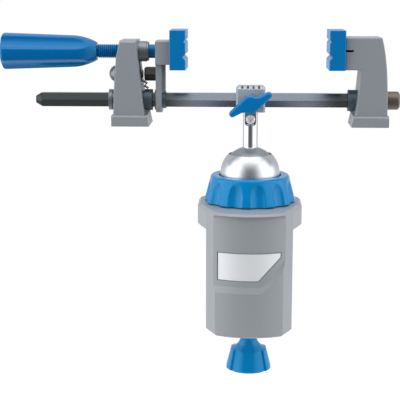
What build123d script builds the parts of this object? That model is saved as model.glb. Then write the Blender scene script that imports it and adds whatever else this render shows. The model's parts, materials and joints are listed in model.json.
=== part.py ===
"""Tilting vise: a hex-bar clamp on a ball post, carried by a base that clamps over a bench edge.

Millimetres, +Z up. The origin is where the ball's axis meets the bench top, +X runs along the bar
towards the fixed jaw, and -Y faces the person at the bench.
"""
import math
import os

from build123d import *

os.makedirs("parts", exist_ok=True)

# Clearances shared by every fit.
overrun = 1.0
seat_gap = 0.05
run_gap = 0.1
thread_gap = 0.35
soft_edge = 1.0

# Base casting: a top plate on the bench, a spine down the bench edge and an arm under the bench.
plate_thick = 18.0
plate_half = 46.0
plate_back = 44.0
plate_corner_run = 14.0
plate_corner_rise = 24.0
ear_front = 12.0
ear_width = 8.3
facet_width = 8.4
bench_edge = 37.0
base_drop = 91.0
front_radius = 62.0
arm_thick = 18.5
arm_half = 30.0
arm_boss_wall = 4.0
spine_half = plate_half - ear_width
front_half = spine_half - facet_width
front_y = math.sqrt(front_radius**2 - front_half**2)
arm_top = arm_thick - base_drop

# The upper front panel is set back behind a bevelled stripe that turns up towards the right.
panel_step = 2.2
panel_runout = 1.7
panel_corner = 2.5
stripe_drop = 46.0
stripe_height = 5.5
stripe_turn = 9.9
diagonal_run = 19.3
diagonal_rise = 20.4
rim_bevel = 2.0
rim_land = 0.3
foot_bevel = 1.6
panel_radius = front_radius - panel_step
panel_half = front_half + panel_runout
panel_top = plate_thick - rim_bevel - rim_land

# Bare badge on the upper panel: top edge, right corner, lower edge.
badge_half = 26.7
badge_top = 16.8
badge_side = 3.4
badge_height = 23.6
badge_notch = 7.7
badge_thick = 0.7
badge_sink = 0.9
badge_gap = 0.6
badge_corner = badge_top + badge_side
badge_bottom = badge_top + badge_height

# Ball joint. The ball sits in a neck on the plate, and a flanged cap holds it down.
ball_radius = 25.0
ball_rise = 24.5
neck_drop = 9.5
neck_wall = 0.8
pocket_inset = 0.9
pocket_room = 1.5
pocket_relief_radius = 12.0
pocket_relief_depth = 9.0
seat_bore = 14.0
seat_recess = 1.6
cap_wall = 1.5
cap_rim = 19.0
flange_width = 6.4
flange_room = 1.2
cap_flange_thick = 2.0
friction_room = 1.4
friction_thick = 1.9
ball_height = plate_thick + ball_rise
pocket_radius = ball_radius - pocket_inset
pocket_floor = ball_height - ball_radius - pocket_room
pocket_relief_floor = pocket_floor - pocket_relief_depth
cap_inner = ball_radius + run_gap
cap_outer = cap_inner + cap_wall
flange_radius = cap_outer + flange_width
neck_radius = flange_radius + neck_wall
neck_top = ball_height - neck_drop
seat_top = neck_top - seat_recess
flange_bottom = neck_top + flange_room
flange_top = flange_bottom + cap_flange_thick
friction_inner = cap_outer + friction_room
friction_bottom = flange_top + run_gap
friction_top = friction_bottom + friction_thick

# Locking collar.
collar_room = 1.0
collar_slack = 0.4
collar_wall = 0.8
collar_spread = 5.3
collar_lip_thick = 4.2
collar_lip_room = 1.0
collar_edge = 1.2
collar_flutes = 12
collar_flute_start = -109.2
collar_flute_radius = 10.0
collar_flute_depth = 2.8
collar_flute_drop = 3.2
collar_flute_run = 12.0
collar_bottom = plate_thick + collar_room
collar_lip_bottom = friction_top + run_gap
collar_top = collar_lip_bottom + collar_lip_thick
collar_bore = neck_radius + collar_slack
collar_lip_bore = cap_outer + collar_lip_room
collar_head_radius = collar_bore + collar_wall
collar_foot_radius = collar_head_radius + collar_spread

# Bar, saddle and post. The bar has two flats level, so its corners face front and back.
bar_flats = 12.0
bar_left = 190.0
bar_taper_run = 6.0
bar_taper_drop = 3.6
post_rise = 66.2
saddle_half = 12.8
saddle_wall = 5.1
saddle_floor = 3.7
saddle_roof = 6.5
saddle_bevel = 2.0
saddle_slots = 4
saddle_slot_pitch = 4.85
saddle_slot_width = 1.9
saddle_slot_depth = 4.6
saddle_slot_reach = 13.0
saddle_lip = 1.2
saddle_lip_drop = 1.6
spigot_radius = 3.4
spigot_foot = 4.2
spigot_groove_depth = 1.0
spigot_groove_width = 5.0
post_radius = 6.75
post_flat_wall = 1.0
post_flat_margin = 1.7
post_flat_round = 2.0
post_screw_drop = 6.7
post_screw_radius = 2.0
post_screw_head = 4.0
post_screw_head_height = 2.4
post_screw_cross = 1.1
post_screw_cross_depth = 1.3
bar_height = ball_height + post_rise
hex_corner = bar_flats / math.sqrt(3)
saddle_depth = hex_corner + saddle_wall
saddle_bottom = bar_height - bar_flats / 2 - saddle_floor
saddle_top = bar_height + bar_flats / 2 + saddle_roof
post_top = saddle_bottom - run_gap
post_flat = spigot_radius + post_flat_wall
post_screw_height = post_top - post_screw_drop
post_flat_bottom = post_screw_height - post_screw_head - post_flat_margin
spigot_length = post_screw_drop + spigot_groove_width / 2 + spigot_foot

# Thumb lever and the pad that it drives against the bar.
lever_drop = 2.0
lever_tilt = 27.5
lever_wing_length = 17.7
lever_tip_radius = 2.8
lever_hub_radius = 7.8
lever_room = 2.6
lever_wing_step = 1.6
lever_wing_depth = 7.4
lever_dip = 7.0
lever_edge = 2.2
lever_pad_thick = 2.9
lever_screw_radius = 4.0
lever_screw_embed = 7.0
lever_height = bar_height - lever_drop
lever_screw_tip = hex_corner + lever_pad_thick
lever_back = saddle_depth + lever_room
lever_wing_back = lever_back + lever_wing_step

# Jaw pads with two V grooves, and the tongue that holds each of them. They follow the jaw screw's height.
jaw_rise = 42.4
pad_thick = 13.8
pad_half = 21.0
pad_height = 34.0
pad_below = 15.1
pad_edge = 0.8
small_groove_drop = 9.5
small_groove_half = 1.75
small_groove_depth = 1.5
large_groove_rise = 11.2
large_groove_half = 2.7
large_groove_depth = 2.7
tongue_rise = 1.5
tongue_half_thick = 0.9
tongue_depth = 5.6
tongue_half_width = 10.0
screw_height = bar_height + jaw_rise
pad_bottom = screw_height - pad_below
pad_top = pad_bottom + pad_height
small_groove_height = pad_top - small_groove_drop
large_groove_height = pad_bottom + large_groove_rise
tongue_height = screw_height + tongue_rise

# Foot flange of both jaws.
flange_drop = 12.2
flange_height = 9.5
flange_draft = 2.0
flange_bevel = 1.4
flange_proud = 2.0
gusset_half = 4.0
flange_head = bar_height - flange_drop
flange_foot = flange_head - flange_height

# Fixed jaw: a column on the bar with a head that overhangs to the left.
fixed_x = 106.0
fixed_depth = 17.0
fixed_waist_rise = 14.3
fixed_waist_behind = 12.4
fixed_waist_ahead = 11.6
fixed_overhang = 12.7
fixed_neck_step = 1.1
fixed_foot_step = 2.9
fixed_foot_spread = 0.8
fixed_shoulder_step = 1.5
fixed_shoulder_rise = 6.3
fixed_head_step = 4.1
fixed_head_inset = 0.2
fixed_head_drop = 6.1
fixed_flange_step = 3.4
fixed_flange_spread = 1.2
fixed_bush_step = 2.3
fixed_bush_wall = 2.4
fixed_bush_sink = 5.0
fixed_slot_depth = 7.0
bar_seat = 6.0
stub_step = 1.0
stub_length = 8.6
end_nut_wall = 3.0
end_nut_cap = 3.0
end_nut_edge = 1.5
fixed_waist_height = bar_height + fixed_waist_rise
fixed_head_bottom = pad_bottom + fixed_head_inset
fixed_head_top = pad_top - fixed_head_drop
fixed_shoulder_height = fixed_head_bottom + fixed_shoulder_rise
fixed_waist_left = fixed_x - fixed_waist_behind
fixed_neck_left = fixed_waist_left + fixed_neck_step
fixed_foot_left = fixed_waist_left - fixed_foot_step
fixed_flange_left = fixed_foot_left - fixed_flange_step
fixed_bush_left = fixed_flange_left - fixed_bush_step
fixed_bush_right = fixed_waist_left + fixed_bush_sink
fixed_face = fixed_waist_left - fixed_overhang
fixed_waist_right = fixed_x + fixed_waist_ahead
fixed_foot_right = fixed_waist_right + fixed_foot_spread
fixed_flange_right = fixed_foot_right + fixed_flange_spread
fixed_shoulder_right = fixed_waist_right - fixed_shoulder_step
fixed_head_right = fixed_shoulder_right - fixed_head_step
fixed_flange_depth = fixed_depth + flange_proud
fixed_bush_radius = hex_corner + fixed_bush_wall
bar_shoulder = fixed_x + bar_seat
stub_radius = bar_flats / 2 - stub_step
stub_right = fixed_foot_right + stub_length
end_nut_radius = stub_radius + end_nut_wall
end_nut_right = stub_right + end_nut_cap

# Thread of the jaw screw and its nut.
jaw_thread_core = 5.2
jaw_thread_ridge = 1.05
jaw_thread_pitch = 1.75
nut_wall = 1.7
nut_boss_step = 0.65
nut_ring_step = 0.1
nut_behind = 8.5
nut_boss_room = 0.3
nut_boss_length = 6.4
nut_ring_length = 1.5
nut_bore = jaw_thread_core + jaw_thread_ridge + thread_gap
nut_body_radius = nut_bore + nut_wall
nut_boss_radius = nut_body_radius + nut_boss_step
nut_ring_radius = nut_body_radius - nut_ring_step

# Carriage that runs on the bar and carries the jaw screw. Its tower reaches behind and ahead of its middle.
carriage_x = -107.0
tower_depth = 18.0
tower_crown = 1.8
tower_top_rise = 10.2
tower_top_behind = 6.3
tower_top_ahead = 7.9
tower_shoulder_drop = 4.7
tower_shoulder_behind = 9.8
tower_shoulder_ahead = 8.8
tower_waist_rise = 17.3
tower_waist_behind = 11.5
tower_waist_ahead = 11.0
tower_foot_behind = 12.9
tower_foot_ahead = 14.2
tower_flange_step = 1.4
tower_flange_reach = 4.4
tower_top = screw_height + tower_top_rise
tower_top_left = carriage_x - tower_top_behind
tower_top_right = carriage_x + tower_top_ahead
tower_shoulder_height = screw_height - tower_shoulder_drop
tower_shoulder_left = carriage_x - tower_shoulder_behind
tower_shoulder_right = carriage_x + tower_shoulder_ahead
tower_waist_height = bar_height + tower_waist_rise
tower_waist_left = carriage_x - tower_waist_behind
tower_waist_right = carriage_x + tower_waist_ahead
tower_foot_left = carriage_x - tower_foot_behind
tower_foot_right = carriage_x + tower_foot_ahead
tower_flange_left = tower_foot_left - tower_flange_step
tower_flange_right = tower_foot_right + tower_flange_reach
tower_flange_depth = tower_depth + flange_proud
nut_left = carriage_x - nut_behind

# Bushes of the carriage, its leaf spring and the rivet that holds the spring.
bush_wall = 1.07
bush_flange_step = 1.3
bush_sink = 0.6
grip_bush_length = 6.9
washer_step = 1.15
washer_room = 0.4
washer_thick = 3.2
rivet_rise = 22.8
rivet_radius = 2.2
rivet_head_radius = 7.5
rivet_head_rise = 6.6
rivet_tail_radius = 3.4
rivet_tail_thick = 0.7
leaf_thick = 0.8
leaf_half_width = 5.0
leaf_room = 0.15
leaf_tip_inset = 3.2
leaf_fold_rise = 2.1
leaf_back_rise = 2.3
leaf_back_run = 2.1
leaf_knee_rise = 2.8
leaf_knee_run = 4.1
bush_body_radius = hex_corner + bush_wall
bush_flange_radius = bush_body_radius + bush_flange_step
grip_bush_seat = tower_foot_right - bush_sink
grip_bush_right = grip_bush_seat + grip_bush_length
washer_radius = bush_body_radius + washer_step
washer_right = tower_flange_left - washer_room
washer_left = washer_right - washer_thick
rivet_height = bar_height + rivet_rise
leaf_tip_height = bar_height + bush_flange_radius + leaf_thick
leaf_back_height = leaf_tip_height + leaf_fold_rise
leaf_bend_height = leaf_back_height + leaf_back_rise
leaf_knee_height = leaf_bend_height + leaf_knee_rise
leaf_top = screw_height - nut_boss_radius - leaf_room

# Jaw carrier that rides ahead of the carriage.
carrier_gap = 2.2
carrier_web_thick = 5.1
carrier_rib_thick = 2.8
carrier_head_rise = 9.5
carrier_head_drop = 10.9
carrier_head_depth = 15.5
carrier_web_depth = 11.5
carrier_rib_depth = 4.0
carrier_foot_drop = 10.7
carrier_foot_round = 6.0
carrier_bush_wall = 0.67
carrier_bush_step = 1.4
carrier_bush_flange_thick = 1.4
carrier_bush_proud = 0.4
stud_flats = 11.8
stud_room = 1.2
stud_shank_radius = 4.0
stud_chamfer = 1.0
pin_radius = 1.5
pin_inset = 3.7
pin_below = 7.5
journal_radius = 4.0
journal_groove_depth = 1.1
journal_lip = 1.2
journal_room = 0.6
carrier_left = grip_bush_right + carrier_bush_flange_thick + carrier_gap
carrier_web_right = carrier_left + carrier_web_thick
carrier_rib_right = carrier_web_right + carrier_rib_thick
carrier_head_bottom = screw_height - carrier_head_drop
carrier_head_top = screw_height + carrier_head_rise
carrier_foot = bar_height - carrier_foot_drop
carrier_bush_radius = hex_corner + carrier_bush_wall
carrier_bush_flange = carrier_bush_radius + carrier_bush_step
carrier_bush_left = carrier_left - carrier_bush_flange_thick
carrier_bush_right = carrier_rib_right + carrier_bush_proud
pin_half = pin_radius + run_gap
pin_x = carrier_left + pin_inset
pin_y = journal_radius - journal_groove_depth + pin_half
pin_length = carrier_head_rise + pin_below
journal_right = pin_x + pin_half + journal_lip
carrier_face = journal_right + journal_room + tongue_depth

# Jaw screw handle, one moulding with its thread.
grip_length = 61.8
grip_end_radius = 16.1
grip_neck_radius = 13.9
grip_round = 3.2
grip_flutes = 4
grip_flute_start = -35.0
grip_flute_radius = 14.0
grip_flute_depth = 2.8
grip_flute_lean = 1.46
taper_length = 22.0
taper_radius = 7.8
taper_bulge = 1.4
thread_behind = 28.0
jaw_tip_length = 9.1
jaw_tip_radius = 6.0
taper_right = carriage_x - thread_behind
grip_right = taper_right - taper_length
grip_left = grip_right - grip_length
jaw_thread_right = carrier_left - jaw_tip_length

# Bench clamp: shoe, screw and knob under the bench.
board_thick = 19.05
shoe_pad_thick = 2.0
shoe_pad_radius = 17.0
shoe_thick = 6.4
shoe_rim_radius = 0.5
shoe_rim = 2.0
shoe_hub_wall = 3.0
shoe_recess_depth = 3.4
clip_thick = 0.9
clip_room = 0.9
clip_outer = 6.6
clip_mouth_half = 2.2
clamp_core = 5.0
clamp_ridge = 1.0
clamp_pitch = 2.0
clamp_journal_step = 1.0
clamp_journal_groove = 0.9
clamp_journal_drop = 1.0
nut_sleeve_wall = 2.65
nut_flange_step = 3.0
nut_flange_thick = 2.5
shoe_top = -board_thick - shoe_pad_thick - seat_gap
shoe_bottom = shoe_top - shoe_thick
shoe_radius = shoe_pad_radius + shoe_rim_radius
shoe_recess_radius = clip_outer + clip_room
shoe_hub_radius = shoe_recess_radius + shoe_hub_wall
clip_bottom = shoe_top - shoe_recess_depth + run_gap
clamp_thread_top = shoe_bottom - run_gap
clamp_journal_radius = clamp_core - clamp_journal_step
clamp_journal_top = shoe_top - clamp_journal_drop
nut_sleeve_radius = clamp_core + clamp_ridge + thread_gap + nut_sleeve_wall
nut_flange_radius = nut_sleeve_radius + nut_flange_step
arm_boss_radius = nut_flange_radius + arm_boss_wall

# Knob on the clamp screw, from its neck down.
knob_room = 12.0
knob_neck_wall = 2.9
knob_neck_length = 8.0
knob_flare_length = 8.0
knob_flare = 1.6
knob_shoulder_spread = 8.8
knob_brim = 3.0
knob_waist_spread = 0.7
knob_skirt = 15.5
knob_foot_spread = 3.9
knob_foot_round = 1.6
knob_bore_depth = 25.0
knob_lobes = 4
knob_notch_radius = 2.6
knob_notch_depth = 2.0
knob_dent_radius = 16.0
knob_dent_depth = 0.9
knob_top = -base_drop - knob_room
knob_neck_bottom = knob_top - knob_neck_length
knob_shoulder = knob_neck_bottom - knob_flare_length
knob_waist = knob_shoulder - knob_brim
knob_bottom = knob_waist - knob_skirt
knob_neck_radius = clamp_core + knob_neck_wall
knob_shoulder_radius = knob_neck_radius + knob_shoulder_spread
knob_waist_radius = knob_shoulder_radius + knob_waist_spread
knob_foot_radius = knob_waist_radius + knob_foot_spread

# Thread ridge shape, as shares of the pitch.
ridge_root_share = 0.43
ridge_crest_share = 0.14
ridge_sink_share = 0.1


def thread_ridge(start, core, ridge, pitch, length):
    """One helical ridge round the start plane's axis, wound up from that plane."""
    with BuildPart() as wound:
        with BuildLine() as path:
            Helix(pitch, length, core, center=start.origin, direction=start.z_dir)
        radial = (path.line @ 0) - start.origin
        with BuildSketch(Plane(origin=path.line @ 0, x_dir=radial, z_dir=path.line % 0)):
            with BuildLine():
                Polyline(
                    (-pitch * ridge_sink_share, -pitch * ridge_root_share),
                    (ridge, -pitch * ridge_crest_share),
                    (ridge, pitch * ridge_crest_share),
                    (-pitch * ridge_sink_share, pitch * ridge_root_share),
                    close=True,
                )
            make_face()
        sweep(path=path.line, is_frenet=True)
    return wound.part


def face_of(*points):
    """A flat face on the XZ plane through the given corners."""
    with BuildSketch(Plane.XZ) as outline:
        with BuildLine():
            Polyline(*points, close=True)
        make_face()
    return outline.sketch


def bar_hole(x, flats):
    """A hexagon on the bar's axis at x, with two flats level."""
    with BuildSketch(Plane.YZ.offset(x)) as hexagon:
        with Locations((0, bar_height)):
            RegularPolygon(flats / 2, 6, major_radius=False)
    return hexagon.sketch


def disc(x, z, radius):
    """A round face across the X direction, centred at height z."""
    with BuildSketch(Plane.YZ.offset(x)) as circle:
        with Locations((0, z)):
            Circle(radius)
    return circle.sketch


def pad_outline(back, side):
    """Corners of a jaw pad whose flat back is at X = back and whose working face looks to side."""
    front = back + side * pad_thick
    tongue_end = back - side * tongue_depth
    corners = [(back, pad_bottom), (front, pad_bottom)]
    for height, half, depth in (
        (large_groove_height, large_groove_half, large_groove_depth),
        (small_groove_height, small_groove_half, small_groove_depth),
    ):
        corners += [(front, height - half), (front - side * depth, height), (front, height + half)]
    corners += [(front, pad_top), (back, pad_top)]
    tongue = [
        (back, tongue_height - tongue_half_thick),
        (back, tongue_height + tongue_half_thick),
        (tongue_end, tongue_height + tongue_half_thick),
        (tongue_end, tongue_height - tongue_half_thick),
    ]
    return corners, tongue


def upper_edges(builder):
    """Edges of the front and back faces of a casting, all but the lowest pair."""
    faces = builder.faces().sort_by(Axis.Y)
    edges = faces[0].edges() + faces[-1].edges()
    return edges.sort_by(Axis.Z)[2:]


def flange_rims(builder):
    """Front and back edges along the top of a casting's foot flange."""
    level = builder.edges().filter_by(Axis.X)
    rims = level.filter_by_position(Axis.Z, flange_head - seat_gap, flange_head + seat_gap)
    return [rims.sort_by(Axis.Y)[0], rims.sort_by(Axis.Y)[-1]]


def tower_side(height, waist, shoulder):
    """X of a side of the carriage at a height between its waist and its shoulder."""
    share = (height - tower_waist_height) / (tower_shoulder_height - tower_waist_height)
    return waist + share * (shoulder - waist)


def tower_left(height):
    """X of the carriage's left face at that height."""
    return tower_side(height, tower_waist_left, tower_shoulder_left)


def tower_right(height):
    """X of the carriage's right face at that height."""
    return tower_side(height, tower_waist_right, tower_shoulder_right)


def badge_corners():
    """Corners of the bare badge as seen from the front."""
    return (
        (-badge_half, -badge_bottom),
        (-badge_half, -badge_top),
        (badge_half, -badge_top),
        (badge_half, -badge_corner),
        (badge_notch, -badge_bottom),
    )


# The base casting.
with BuildPart() as base_body:
    with BuildSketch(Plane.XY.offset(-base_drop)):
        with BuildLine():
            ThreePointArc((-front_half, -front_y), (0, -front_radius), (front_half, -front_y))
            Polyline(
                (front_half, -front_y),
                (spine_half, -bench_edge),
                (-spine_half, -bench_edge),
                (-front_half, -front_y),
            )
        make_face()
    extrude(amount=base_drop)
    with BuildSketch():
        with BuildLine():
            ThreePointArc((-front_half, -front_y), (0, -front_radius), (front_half, -front_y))
            Polyline(
                (front_half, -front_y),
                (spine_half, -bench_edge),
                (plate_half, -ear_front),
                (plate_half, plate_back - plate_corner_rise),
                (plate_half - plate_corner_run, plate_back),
                (plate_corner_run - plate_half, plate_back),
                (-plate_half, plate_back - plate_corner_rise),
                (-plate_half, -ear_front),
                (-spine_half, -bench_edge),
                (-front_half, -front_y),
            )
        make_face()
    extrude(amount=plate_thick)
    chamfer(base_body.faces().sort_by(Axis.Z)[-1].edges(), rim_bevel)
    chamfer(base_body.faces().sort_by(Axis.Z)[0].edges(), foot_bevel)
    with BuildSketch(Plane.XY.offset(-base_drop)):
        with BuildLine():
            Polyline(
                (-arm_half, -bench_edge - overrun),
                (arm_half, -bench_edge - overrun),
                (arm_boss_radius, 0),
                (-arm_boss_radius, 0),
                close=True,
            )
        make_face()
        Circle(arm_boss_radius)
    extrude(amount=arm_thick)

    # Upper panel: a pocket with round upper corners that runs out over the side facets. Its floor is the
    # panel radius, and it ends below in the stripe, level as far as the turn and then rising.
    diagonal_from = Vector(stripe_turn, -math.sqrt(panel_radius**2 - stripe_turn**2), -stripe_drop)
    diagonal_x = stripe_turn + diagonal_run
    diagonal_to = Vector(
        diagonal_x,
        -math.sqrt(panel_radius**2 - diagonal_x**2),
        diagonal_rise - stripe_drop,
    )
    bevel_fall = Vector(0, -panel_step, -stripe_height)
    slope = (diagonal_to - diagonal_from).cross(bevel_fall)
    with BuildPart(mode=Mode.PRIVATE) as panel_stock:
        with BuildSketch(Plane.XZ):
            with BuildLine():
                Polyline(
                    (panel_radius, plate_thick),
                    (panel_radius, -stripe_drop),
                    (panel_radius + 2 * panel_step, -stripe_drop - 2 * stripe_height),
                    (panel_radius + 2 * panel_step, plate_thick),
                    close=True,
                )
            make_face()
        revolve(axis=Axis.Z)
        with BuildSketch(Plane.XZ.offset(bench_edge)):
            with Locations((0, panel_top)):
                RectangleRounded(
                    2 * panel_half,
                    panel_top + base_drop,
                    panel_corner,
                    align=(Align.CENTER, Align.MAX),
                )
        extrude(amount=front_radius, mode=Mode.INTERSECT)
    with BuildPart(mode=Mode.PRIVATE) as level_stock:
        add(panel_stock.part)
        split(bisect_by=Plane.YZ.offset(stripe_turn), keep=Keep.BOTTOM)
    with BuildPart(mode=Mode.PRIVATE) as rising_stock:
        add(panel_stock.part)
        split(bisect_by=Plane.YZ.offset(stripe_turn), keep=Keep.TOP)
        split(bisect_by=Plane(diagonal_from, x_dir=bevel_fall, z_dir=-slope), keep=Keep.TOP)
    add(level_stock.part, mode=Mode.SUBTRACT)
    add(rising_stock.part, mode=Mode.SUBTRACT)

    # Recess for the badge, cut to one radius.
    with BuildPart(mode=Mode.PRIVATE) as badge_recess:
        with BuildSketch(Plane.XZ):
            with BuildLine():
                Polyline(*badge_corners(), close=True)
            make_face()
            offset(amount=badge_gap, kind=Kind.INTERSECTION)
        extrude(amount=front_radius)
        with BuildSketch(Plane.XY.offset(-base_drop)):
            Circle(panel_radius - badge_sink)
        extrude(amount=base_drop, mode=Mode.SUBTRACT)
    add(badge_recess.part, mode=Mode.SUBTRACT)

    # Neck and pocket of the ball joint, bore of the clamp nut.
    with BuildSketch(Plane.XY.offset(plate_thick - overrun)):
        Circle(neck_radius)
    extrude(amount=neck_top - plate_thick + overrun)
    with BuildSketch(Plane.XY.offset(pocket_floor)):
        Circle(pocket_radius)
    extrude(amount=neck_top, mode=Mode.SUBTRACT)
    with BuildSketch(Plane.XY.offset(pocket_relief_floor)):
        Circle(pocket_relief_radius)
    extrude(amount=neck_top, mode=Mode.SUBTRACT)
    with BuildSketch(Plane.XY.offset(-base_drop - overrun)):
        Circle(nut_sleeve_radius + seat_gap)
    extrude(amount=arm_thick + 2 * overrun, mode=Mode.SUBTRACT)
    with BuildSketch(Plane.XY.offset(arm_top - nut_flange_thick - seat_gap)):
        Circle(nut_flange_radius + seat_gap)
    extrude(amount=nut_flange_thick + overrun, mode=Mode.SUBTRACT)
base_body.part.label = "base_body"
export_step(base_body.part, "parts/base_body.step")

# Bare badge, curved to the panel.
with BuildPart() as badge_plate:
    with BuildSketch(Plane.XZ):
        with BuildLine():
            Polyline(*badge_corners(), close=True)
        make_face()
    extrude(amount=front_radius)
    with BuildSketch(Plane.XY.offset(-base_drop)):
        Circle(panel_radius - badge_sink + badge_thick)
        Circle(panel_radius - badge_sink + seat_gap, mode=Mode.SUBTRACT)
    extrude(amount=base_drop, mode=Mode.INTERSECT)
badge_plate.part.label = "badge_plate"
export_step(badge_plate.part, "parts/badge_plate.step")

# Nut in the lower arm.
with BuildPart() as clamp_nut:
    with BuildSketch(Plane.XY.offset(-base_drop)):
        Circle(nut_sleeve_radius)
    extrude(amount=arm_thick)
    with BuildSketch(Plane.XY.offset(arm_top - nut_flange_thick)):
        Circle(nut_flange_radius)
    extrude(amount=nut_flange_thick)
    with BuildSketch(Plane.XY.offset(-base_drop)):
        Circle(clamp_core + clamp_ridge + thread_gap)
    extrude(amount=arm_thick, mode=Mode.SUBTRACT)
clamp_nut.part.label = "clamp_nut"
export_step(clamp_nut.part, "parts/clamp_nut.step")

# Seat ring under the ball.
with BuildPart() as ball_seat:
    with BuildSketch(Plane.XY.offset(pocket_floor + seat_gap)):
        Circle(pocket_radius - seat_gap)
        Circle(seat_bore, mode=Mode.SUBTRACT)
    extrude(amount=seat_top - pocket_floor - seat_gap)
    with Locations((0, 0, ball_height)):
        Sphere(ball_radius + seat_gap, mode=Mode.SUBTRACT)
ball_seat.part.label = "ball_seat"
export_step(ball_seat.part, "parts/ball_seat.step")

# Ball and post, turned in one piece and bored for the saddle's spigot.
with BuildPart() as ball_post:
    with Locations((0, 0, ball_height)):
        Sphere(ball_radius)
    with BuildSketch(Plane.XY.offset(ball_height)):
        Circle(post_radius)
    extrude(amount=post_top - ball_height)
    with BuildSketch(Plane.YZ):
        with Locations((-post_flat, post_flat_bottom)):
            RectangleRounded(
                post_radius + 2 * post_flat_round,
                post_top - post_flat_bottom + 2 * post_flat_round,
                post_flat_round,
                align=(Align.MAX, Align.MIN),
            )
    extrude(amount=post_radius + overrun, both=True, mode=Mode.SUBTRACT)
    with BuildSketch(Plane.XY.offset(post_top - spigot_length)):
        Circle(spigot_radius + seat_gap)
    extrude(amount=spigot_length + overrun, mode=Mode.SUBTRACT)
    with BuildSketch(Plane.XZ):
        with Locations((0, post_screw_height)):
            Circle(post_screw_radius + seat_gap)
    extrude(amount=post_radius, mode=Mode.SUBTRACT)
ball_post.part.label = "ball_post"
export_step(ball_post.part, "parts/ball_post.step")

# Spherical cap that holds the ball down by its flange.
cap_rim_outside = ball_height + math.sqrt(cap_outer**2 - cap_rim**2)
with BuildPart() as ball_cap:
    with BuildSketch():
        Circle(cap_outer)
    extrude(amount=cap_rim_outside)
    with Locations((0, 0, ball_height)):
        Sphere(cap_outer, mode=Mode.INTERSECT)
    with BuildSketch(Plane.XY.offset(flange_bottom)):
        Circle(cap_outer)
    extrude(amount=ball_height - flange_bottom)
    with BuildSketch(Plane.XY.offset(flange_bottom)):
        Circle(flange_radius)
    extrude(amount=flange_top - flange_bottom)
    with BuildSketch():
        Circle(flange_radius)
    extrude(amount=flange_bottom, mode=Mode.SUBTRACT)
    with BuildSketch(Plane.XY.offset(flange_bottom - overrun)):
        Circle(cap_inner)
    extrude(amount=ball_height - flange_bottom + overrun, mode=Mode.SUBTRACT)
    with Locations((0, 0, ball_height)):
        Sphere(cap_inner, mode=Mode.SUBTRACT)
    with BuildSketch(Plane.XY.offset(ball_height)):
        Circle(cap_rim)
    extrude(amount=cap_outer, mode=Mode.SUBTRACT)
ball_cap.part.label = "ball_cap"
export_step(ball_cap.part, "parts/ball_cap.step")

# Friction ring between the cap's flange and the collar's lip.
with BuildPart() as friction_ring:
    with BuildSketch(Plane.XY.offset(friction_bottom)):
        Circle(neck_radius)
        Circle(friction_inner, mode=Mode.SUBTRACT)
    extrude(amount=friction_top - friction_bottom)
friction_ring.part.label = "friction_ring"
export_step(friction_ring.part, "parts/friction_ring.step")

# Scalloped locking collar. Each hollow follows the cone, then bends outwards and runs out below the rim.
collar_slope = (collar_foot_radius - collar_head_radius) / (collar_top - collar_bottom)
flute_bend_height = collar_top - collar_flute_drop - collar_flute_run
flute_bend_radius = collar_flute_run**2 / (2 * collar_flute_depth) - collar_flute_radius
flute_bend_angle = math.degrees(2 * math.asin(collar_flute_run / (flute_bend_radius + collar_flute_radius)))
flute_reach = collar_foot_radius - collar_flute_depth + collar_flute_radius
flute_bend_reach = flute_reach - collar_slope * (flute_bend_height - collar_bottom)
flute_foot_height = collar_bottom - collar_flute_radius
flute_foot_reach = flute_reach + collar_slope * collar_flute_radius
with BuildPart() as collar_flute:
    with BuildLine(Plane.XZ) as flute_path:
        flute_line = Line((flute_foot_reach, flute_foot_height), (flute_bend_reach, flute_bend_height))
        JernArc(flute_line @ 1, flute_line % 1, flute_bend_radius, -flute_bend_angle)
    with BuildSketch(Plane(origin=flute_line @ 0, z_dir=flute_line % 0)):
        Circle(collar_flute_radius)
    sweep(path=flute_path.wires()[0])
with BuildPart() as locking_collar:
    with BuildSketch(Plane.XZ):
        with BuildLine():
            Polyline(
                (collar_bore, collar_bottom),
                (collar_foot_radius - collar_edge, collar_bottom),
                (collar_foot_radius, collar_bottom + collar_edge),
                (collar_head_radius, collar_top - collar_edge),
                (collar_head_radius - collar_edge, collar_top),
                (collar_lip_bore, collar_top),
                (collar_lip_bore, collar_lip_bottom),
                (collar_bore, collar_lip_bottom),
                close=True,
            )
        make_face()
    revolve(axis=Axis.Z)
    with PolarLocations(0, collar_flutes, collar_flute_start):
        add(collar_flute.part, mode=Mode.SUBTRACT)
locking_collar.part.label = "locking_collar"
export_step(locking_collar.part, "parts/locking_collar.step")

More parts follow.
